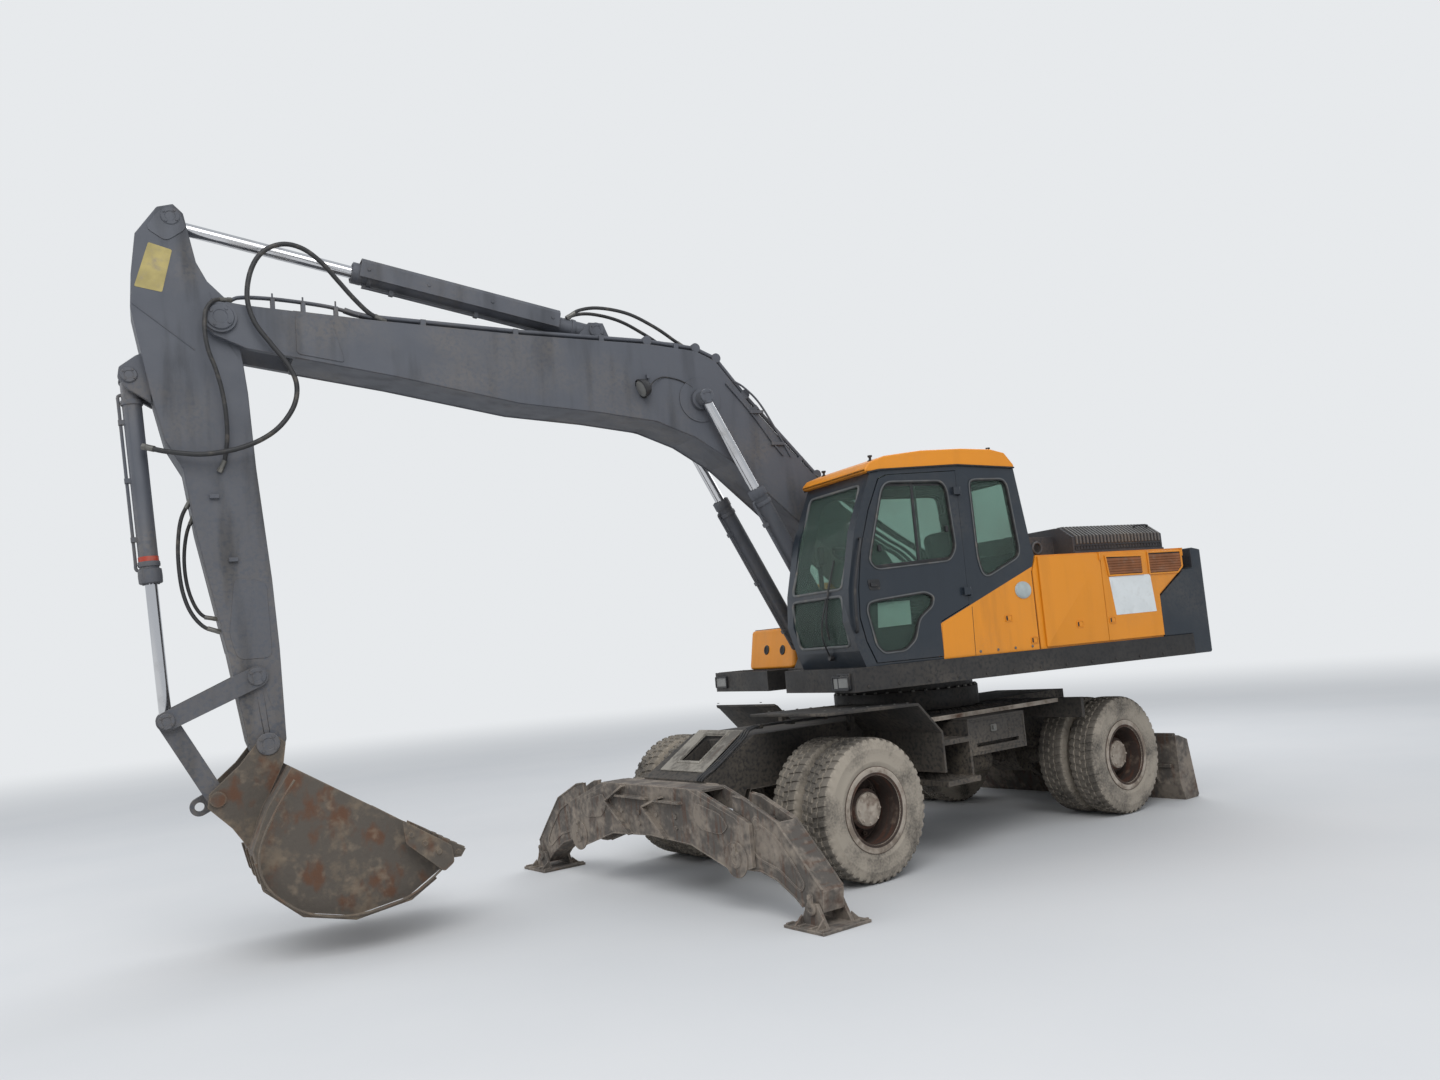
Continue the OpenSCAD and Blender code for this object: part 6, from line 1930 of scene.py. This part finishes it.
    def driveline(self, shop: Shop) -> None:
        """Makes the gearbox, the drive shafts with their joints, the steering cylinder and the axles' covers."""
        box = brick((0.30, -0.20, 0.380), (0.72, 0.20, 0.645))
        box.join(brick((0.36, -0.26, 0.430), (0.66, 0.26, 0.600)))
        box.join(disc(0.11, -0.30, -0.20, 40, 0.006).moved(0.51, 0.0, 0.51))
        shop.piece("gearbox", box, "chassis", "chassis_black", bevel=0.015)
        shafts = Form()
        for x0, x1 in ((0.72, self.front_x - 0.16), (self.rear_x + 0.16, 0.30)):
            run = np.array([(x, 0.0, 0.505) for x in np.linspace(x0, x1, 4)])
            shafts.join(tube(run, 0.042, 20))
            for x in (x0 + 0.05, x1 - 0.05):
                shafts.join(disc(0.070, -0.022, 0.022, 28, 0.004).turned(2, 90).moved(x, 0.0, 0.505))
                shafts.join(brick((x - 0.045, -0.028, 0.440), (x + 0.045, 0.028, 0.570)))
        shop.piece("drive_shafts", shafts, "chassis", "chassis_black", bevel=0.003)
        steer = disc(0.045, -0.26, 0.26, 32, 0.004)
        steer.join(disc(0.052, -0.27, -0.235, 32, 0.004), disc(0.052, 0.235, 0.27, 32, 0.004))
        steer = steer.moved(self.front_x - 0.20, 0.0, self.axle_z - 0.02)
        steer.join(brick((self.front_x - 0.22, -0.11, self.axle_z - 0.06),
                         (self.front_x - 0.10, 0.11, self.axle_z + 0.04)))
        shop.piece("steering_cylinder", steer, "chassis", "chassis_black", bevel=0.004)
        cover = lathe([(0.0, 0.155), (0.100, 0.150), (0.135, 0.125), (0.150, 0.100), (0.152, 0.060),
                       (0.0, 0.060)], 40)
        bolts = hex_heads(spots(10, 0.135), 0.010, 0.118, 0.134)
        case = cover.join(bolts).turned(2, -90)
        cases = case.moved(self.front_x + 0.02, 0.0, self.axle_z)
        cases.join(case.turned(2, 180).moved(self.rear_x - 0.02, 0.0, self.axle_z))
        shop.piece("axle_covers", cases, "chassis", "chassis_black")

    def side_boxes(self, shop: Shop, name: str, sign: float, fender: float) -> None:
        """Makes the treads, the tool box's lid, slots and latch, and the fender's edge and bolts of one side."""
        strip = brick((-0.830, 0.999, 1.034), (0.925, 1.010, 1.068))
        shop.piece(f"catwalk_edge_{name}", self.sided(strip, sign), "chassis", "rim_dust", bevel=0.002)
        grip = Form()
        step, r = 0.055, 0.017
        for x0, x1, y0, y1, z in ((0.57, 0.91, 0.62, 1.22, 0.600), (0.59, 0.91, 0.62, 1.16, 0.900),
                                  (-0.80, 0.50, 0.62, 0.98, 1.070)):
            nx, ny = int((x1 - x0) / step), int((y1 - y0) / step)
            for i in range(nx):
                for j in range(ny):
                    x, y = x0 + step * (i + 0.5), y0 + step * (j + 0.5)
                    lean = 0.008 * (1 if (i + j) % 2 else -1)
                    grip.join(plate_xy([(x - r, y - lean), (x - lean, y - r * 0.3), (x + r, y + lean),
                                        (x + lean, y + r * 0.3)], z - 0.0005, z + 0.004))
        shop.piece(f"step_treads_{name}", self.sided(grip, sign), "chassis", "chassis_black", smooth=False)
        lid = rounded(corners(-0.135, 0.765, 0.535, 1.010), 0.02)
        face = frame_xz(lid, 0.010, 1.1595, 1.165)
        for k in range(4):
            z = 0.868 + 0.030 * k
            face.join(plate_xz(rounded(corners(-0.095, z, 0.065, z + 0.012), 0.005, 3), 1.1595, 1.164))
        latch = plate_xz(rounded(corners(0.215, 0.905, 0.285, 0.960), 0.012), 1.1595, 1.168)
        latch.join(brick((0.235, 1.166, 0.918), (0.265, 1.178, 0.950)))
        shop.piece(f"tool_box_face_{name}", self.sided(face, sign), "chassis", "chassis_black", bevel=0.001)
        shop.piece(f"tool_box_latch_{name}", self.sided(latch, sign), "chassis", "zinc", bevel=0.002)
        path = [(0.930, 0.680), (0.935, 0.975), (1.164, 1.205)]
        path += [(1.60, 1.219), (fender - 0.01, 1.225)] if fender > 1.3 else [(fender - 0.01, 1.214)]
        lip = tube(np.array([(x, 1.232, z) for x, z in path]), 0.010, 8)
        shop.piece(f"fender_edge_{name}", self.sided(lip, sign), "chassis", "chassis_black")
        rivets = Form()
        for x in np.linspace(1.22, fender - 0.06, 7 if fender > 1.3 else 1):
            for y in (0.56, 1.18):
                z = float(np.interp(x, [1.168, fender], [1.205, 1.235]))
                rivets.join(disc(0.010, 0.0, 0.006, 10, 0.002).turned(0, 90).moved(x, y, z + 0.012))
        shop.piece(f"fender_bolts_{name}", self.sided(rivets, sign), "chassis", "zinc")


# Studio


@dataclass
class Studio:
    """Plain pale floor, soft light and the camera."""

    eye: tuple[float, float, float] = (5.6625, 7.0569, 1.7504)
    yaw: float = 0.6542
    pitch: float = 0.0969
    roll: float = -0.087
    focal_px: float = 1109.1141
    width_px: float = 1440.0
    sensor_mm: float = 36.0
    sky: tuple[float, float, float] = (0.80, 0.82, 0.84)
    fade: tuple[float, float] = (9.0, 30.0)

    def build(self) -> None:
        """Makes the camera, the floor, the world and the lamps."""
        self.camera()
        self.floor()
        self.world()
        self.lamp("key", (6.0, 9.0, 11.0), 9.0, 900.0)
        self.lamp("fill", (10.0, -6.0, 8.0), 9.0, 450.0)
        self.lamp("back", (-9.0, -3.0, 9.0), 8.0, 450.0)
        bpy.context.scene.view_settings.view_transform = "Standard"

    def camera(self) -> None:
        """Looks along the yaw and pitch, and is then rolled about its own line of sight."""
        sy, cy, sp, cp = math.sin(self.yaw), math.cos(self.yaw), math.sin(self.pitch), math.cos(self.pitch)
        ahead = np.array([-sy * cp, -cy * cp, sp])
        right = np.cross(ahead, [0.0, 0.0, 1.0])
        right /= np.linalg.norm(right)
        up = np.cross(right, ahead)
        c, s = math.cos(self.roll), math.sin(self.roll)
        right, up = c * right + s * up, -s * right + c * up
        data = bpy.data.cameras.new("camera")
        data.sensor_width = self.sensor_mm
        data.lens = self.focal_px / self.width_px * self.sensor_mm
        data.clip_end = 400.0
        cam = bpy.data.objects.new("camera", data)
        rows = [[right[i], up[i], -ahead[i], self.eye[i]] for i in range(3)]
        cam.matrix_world = Matrix(rows + [[0, 0, 0, 1]])
        bpy.context.scene.collection.objects.link(cam)
        bpy.context.scene.camera = cam

    def floor(self) -> None:
        """A wide floor, pale, with a faint mottle; far from the machine it takes on the sky's colour."""
        n = Nodes("floor_pale")
        length = n.tree.nodes.new("ShaderNodeVectorMath")
        length.operation = "LENGTH"
        n.link(n.coord, length.inputs[0])
        far = n.band(length.outputs["Value"], self.fade[0], self.fade[1])
        mottle = n.mix(n.noise(0.6, 6.0), (0.60, 0.61, 0.62), (0.66, 0.66, 0.66))
        n.link(n.mix(far, mottle, (0.0, 0.0, 0.0)), n.bsdf.inputs["Base Color"])
        n.link(n.mix(far, (0.0, 0.0, 0.0), self.sky), n.bsdf.inputs["Emission Color"])
        n.set(Roughness=0.9, Emission_Strength=1.0, Specular_IOR_Level=0.0)
        size = 150.0
        mesh = bpy.data.meshes.new("floor")
        mesh.from_pydata([(-size, -size, 0), (size, -size, 0), (size, size, 0), (-size, size, 0)], [],
                         [[0, 1, 2, 3]])
        obj = bpy.data.objects.new("floor", mesh)
        mesh.materials.append(n.mat)
        bpy.context.scene.collection.objects.link(obj)

    def world(self) -> None:
        """An even sky: pale where the camera sees it, and a plain soft light for the object."""
        world = bpy.data.worlds.new("sky")
        world.use_nodes = True
        tree = world.node_tree
        back = tree.nodes["Background"]
        path = tree.nodes.new("ShaderNodeLightPath")
        mix = tree.nodes.new("ShaderNodeMix")
        mix.data_type = "RGBA"
        tree.links.new(path.outputs["Is Camera Ray"], mix.inputs["Factor"])
        mix.inputs[6].default_value = (0.62, 0.65, 0.69, 1.0)
        mix.inputs[7].default_value = (*self.sky, 1.0)
        tree.links.new(mix.outputs[2], back.inputs["Color"])
        back.inputs["Strength"].default_value = 1.0
        bpy.context.scene.world = world

    def lamp(self, name: str, spot: tuple[float, float, float], size: float, power: float) -> None:
        """A square soft lamp that faces the machine."""
        data = bpy.data.lights.new(name, "AREA")
        data.size = size
        data.energy = power
        obj = bpy.data.objects.new(name, data)
        back = np.array(spot) - np.array([0.0, 0.0, 1.5])
        back /= np.linalg.norm(back)
        side = np.cross([0.0, 0.0, 1.0], back)
        side /= np.linalg.norm(side)
        up = np.cross(back, side)
        rows = [[side[i], up[i], back[i], spot[i]] for i in range(3)]
        obj.matrix_world = Matrix(rows + [[0, 0, 0, 1]])
        bpy.context.scene.collection.objects.link(obj)


def dress_solids(shop: Shop) -> None:
    """Gives every solid that stays in sight its finish."""
    shop.dress("arm_grey", "arm", bevel=0.006)
    shop.dress("boom_grey", "boom", "boom_barrels", "arm_barrel", "bucket_barrel", "boom_pipes", bevel=0.006)
    shop.dress("boom_grey", "rocker", "bucket_link", bevel=0.004)
    shop.dress("rod_chrome", "boom_rods", "arm_rod", "bucket_rod", "blade_rods", "leg_rod_left",
               "leg_rod_right")
    shop.dress("cab_two_tone", "cab", "cab_door", bevel=0.006)
    shop.dress("cab_dark", "counterweight", bevel=0.03)
    shop.dress("amber", "left_housing", "service_door_front", "service_door_rear", "right_housing", bevel=0.006)
    shop.dress("amber", "cab_roof", bevel=0.022)
    shop.dress("amber", "front_box", bevel=0.045)
    shop.dress("hood_grey", "engine_hood", bevel=0.008)
    shop.dress("deck_black", "upper_frame", "slew_ring", "engine_block", bevel=0.006)
    shop.dress("chassis_black", "chassis_frame", "front_axle", "rear_axle", "left_step_box", "right_step_box",
               "knuckle_left", "knuckle_right", "leg_barrel_left", "leg_barrel_right", "blade_barrels",
               bevel=0.004)
    shop.dress("muddy_steel", "front_beam", "leg_left", "leg_right", "pad_left", "pad_right", "blade",
               bevel=0.004)
    shop.dress("bucket_steel", "bucket", bevel=0.004)
    shop.dress("black_plastic", "console", bevel=0.01)


def main() -> None:
    """Loads the solids, dresses them and adds each sub-assembly."""
    logging.basicConfig(level=logging.INFO, format="%(message)s")
    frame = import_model()
    Studio().build()
    shop = Shop(frame)
    dress_solids(shop)
    for part in (Wheels(), Cab(), Body(), Boom(), Bucket(), Chassis()):
        part.build(shop)


if __name__ == "__main__":
    main()
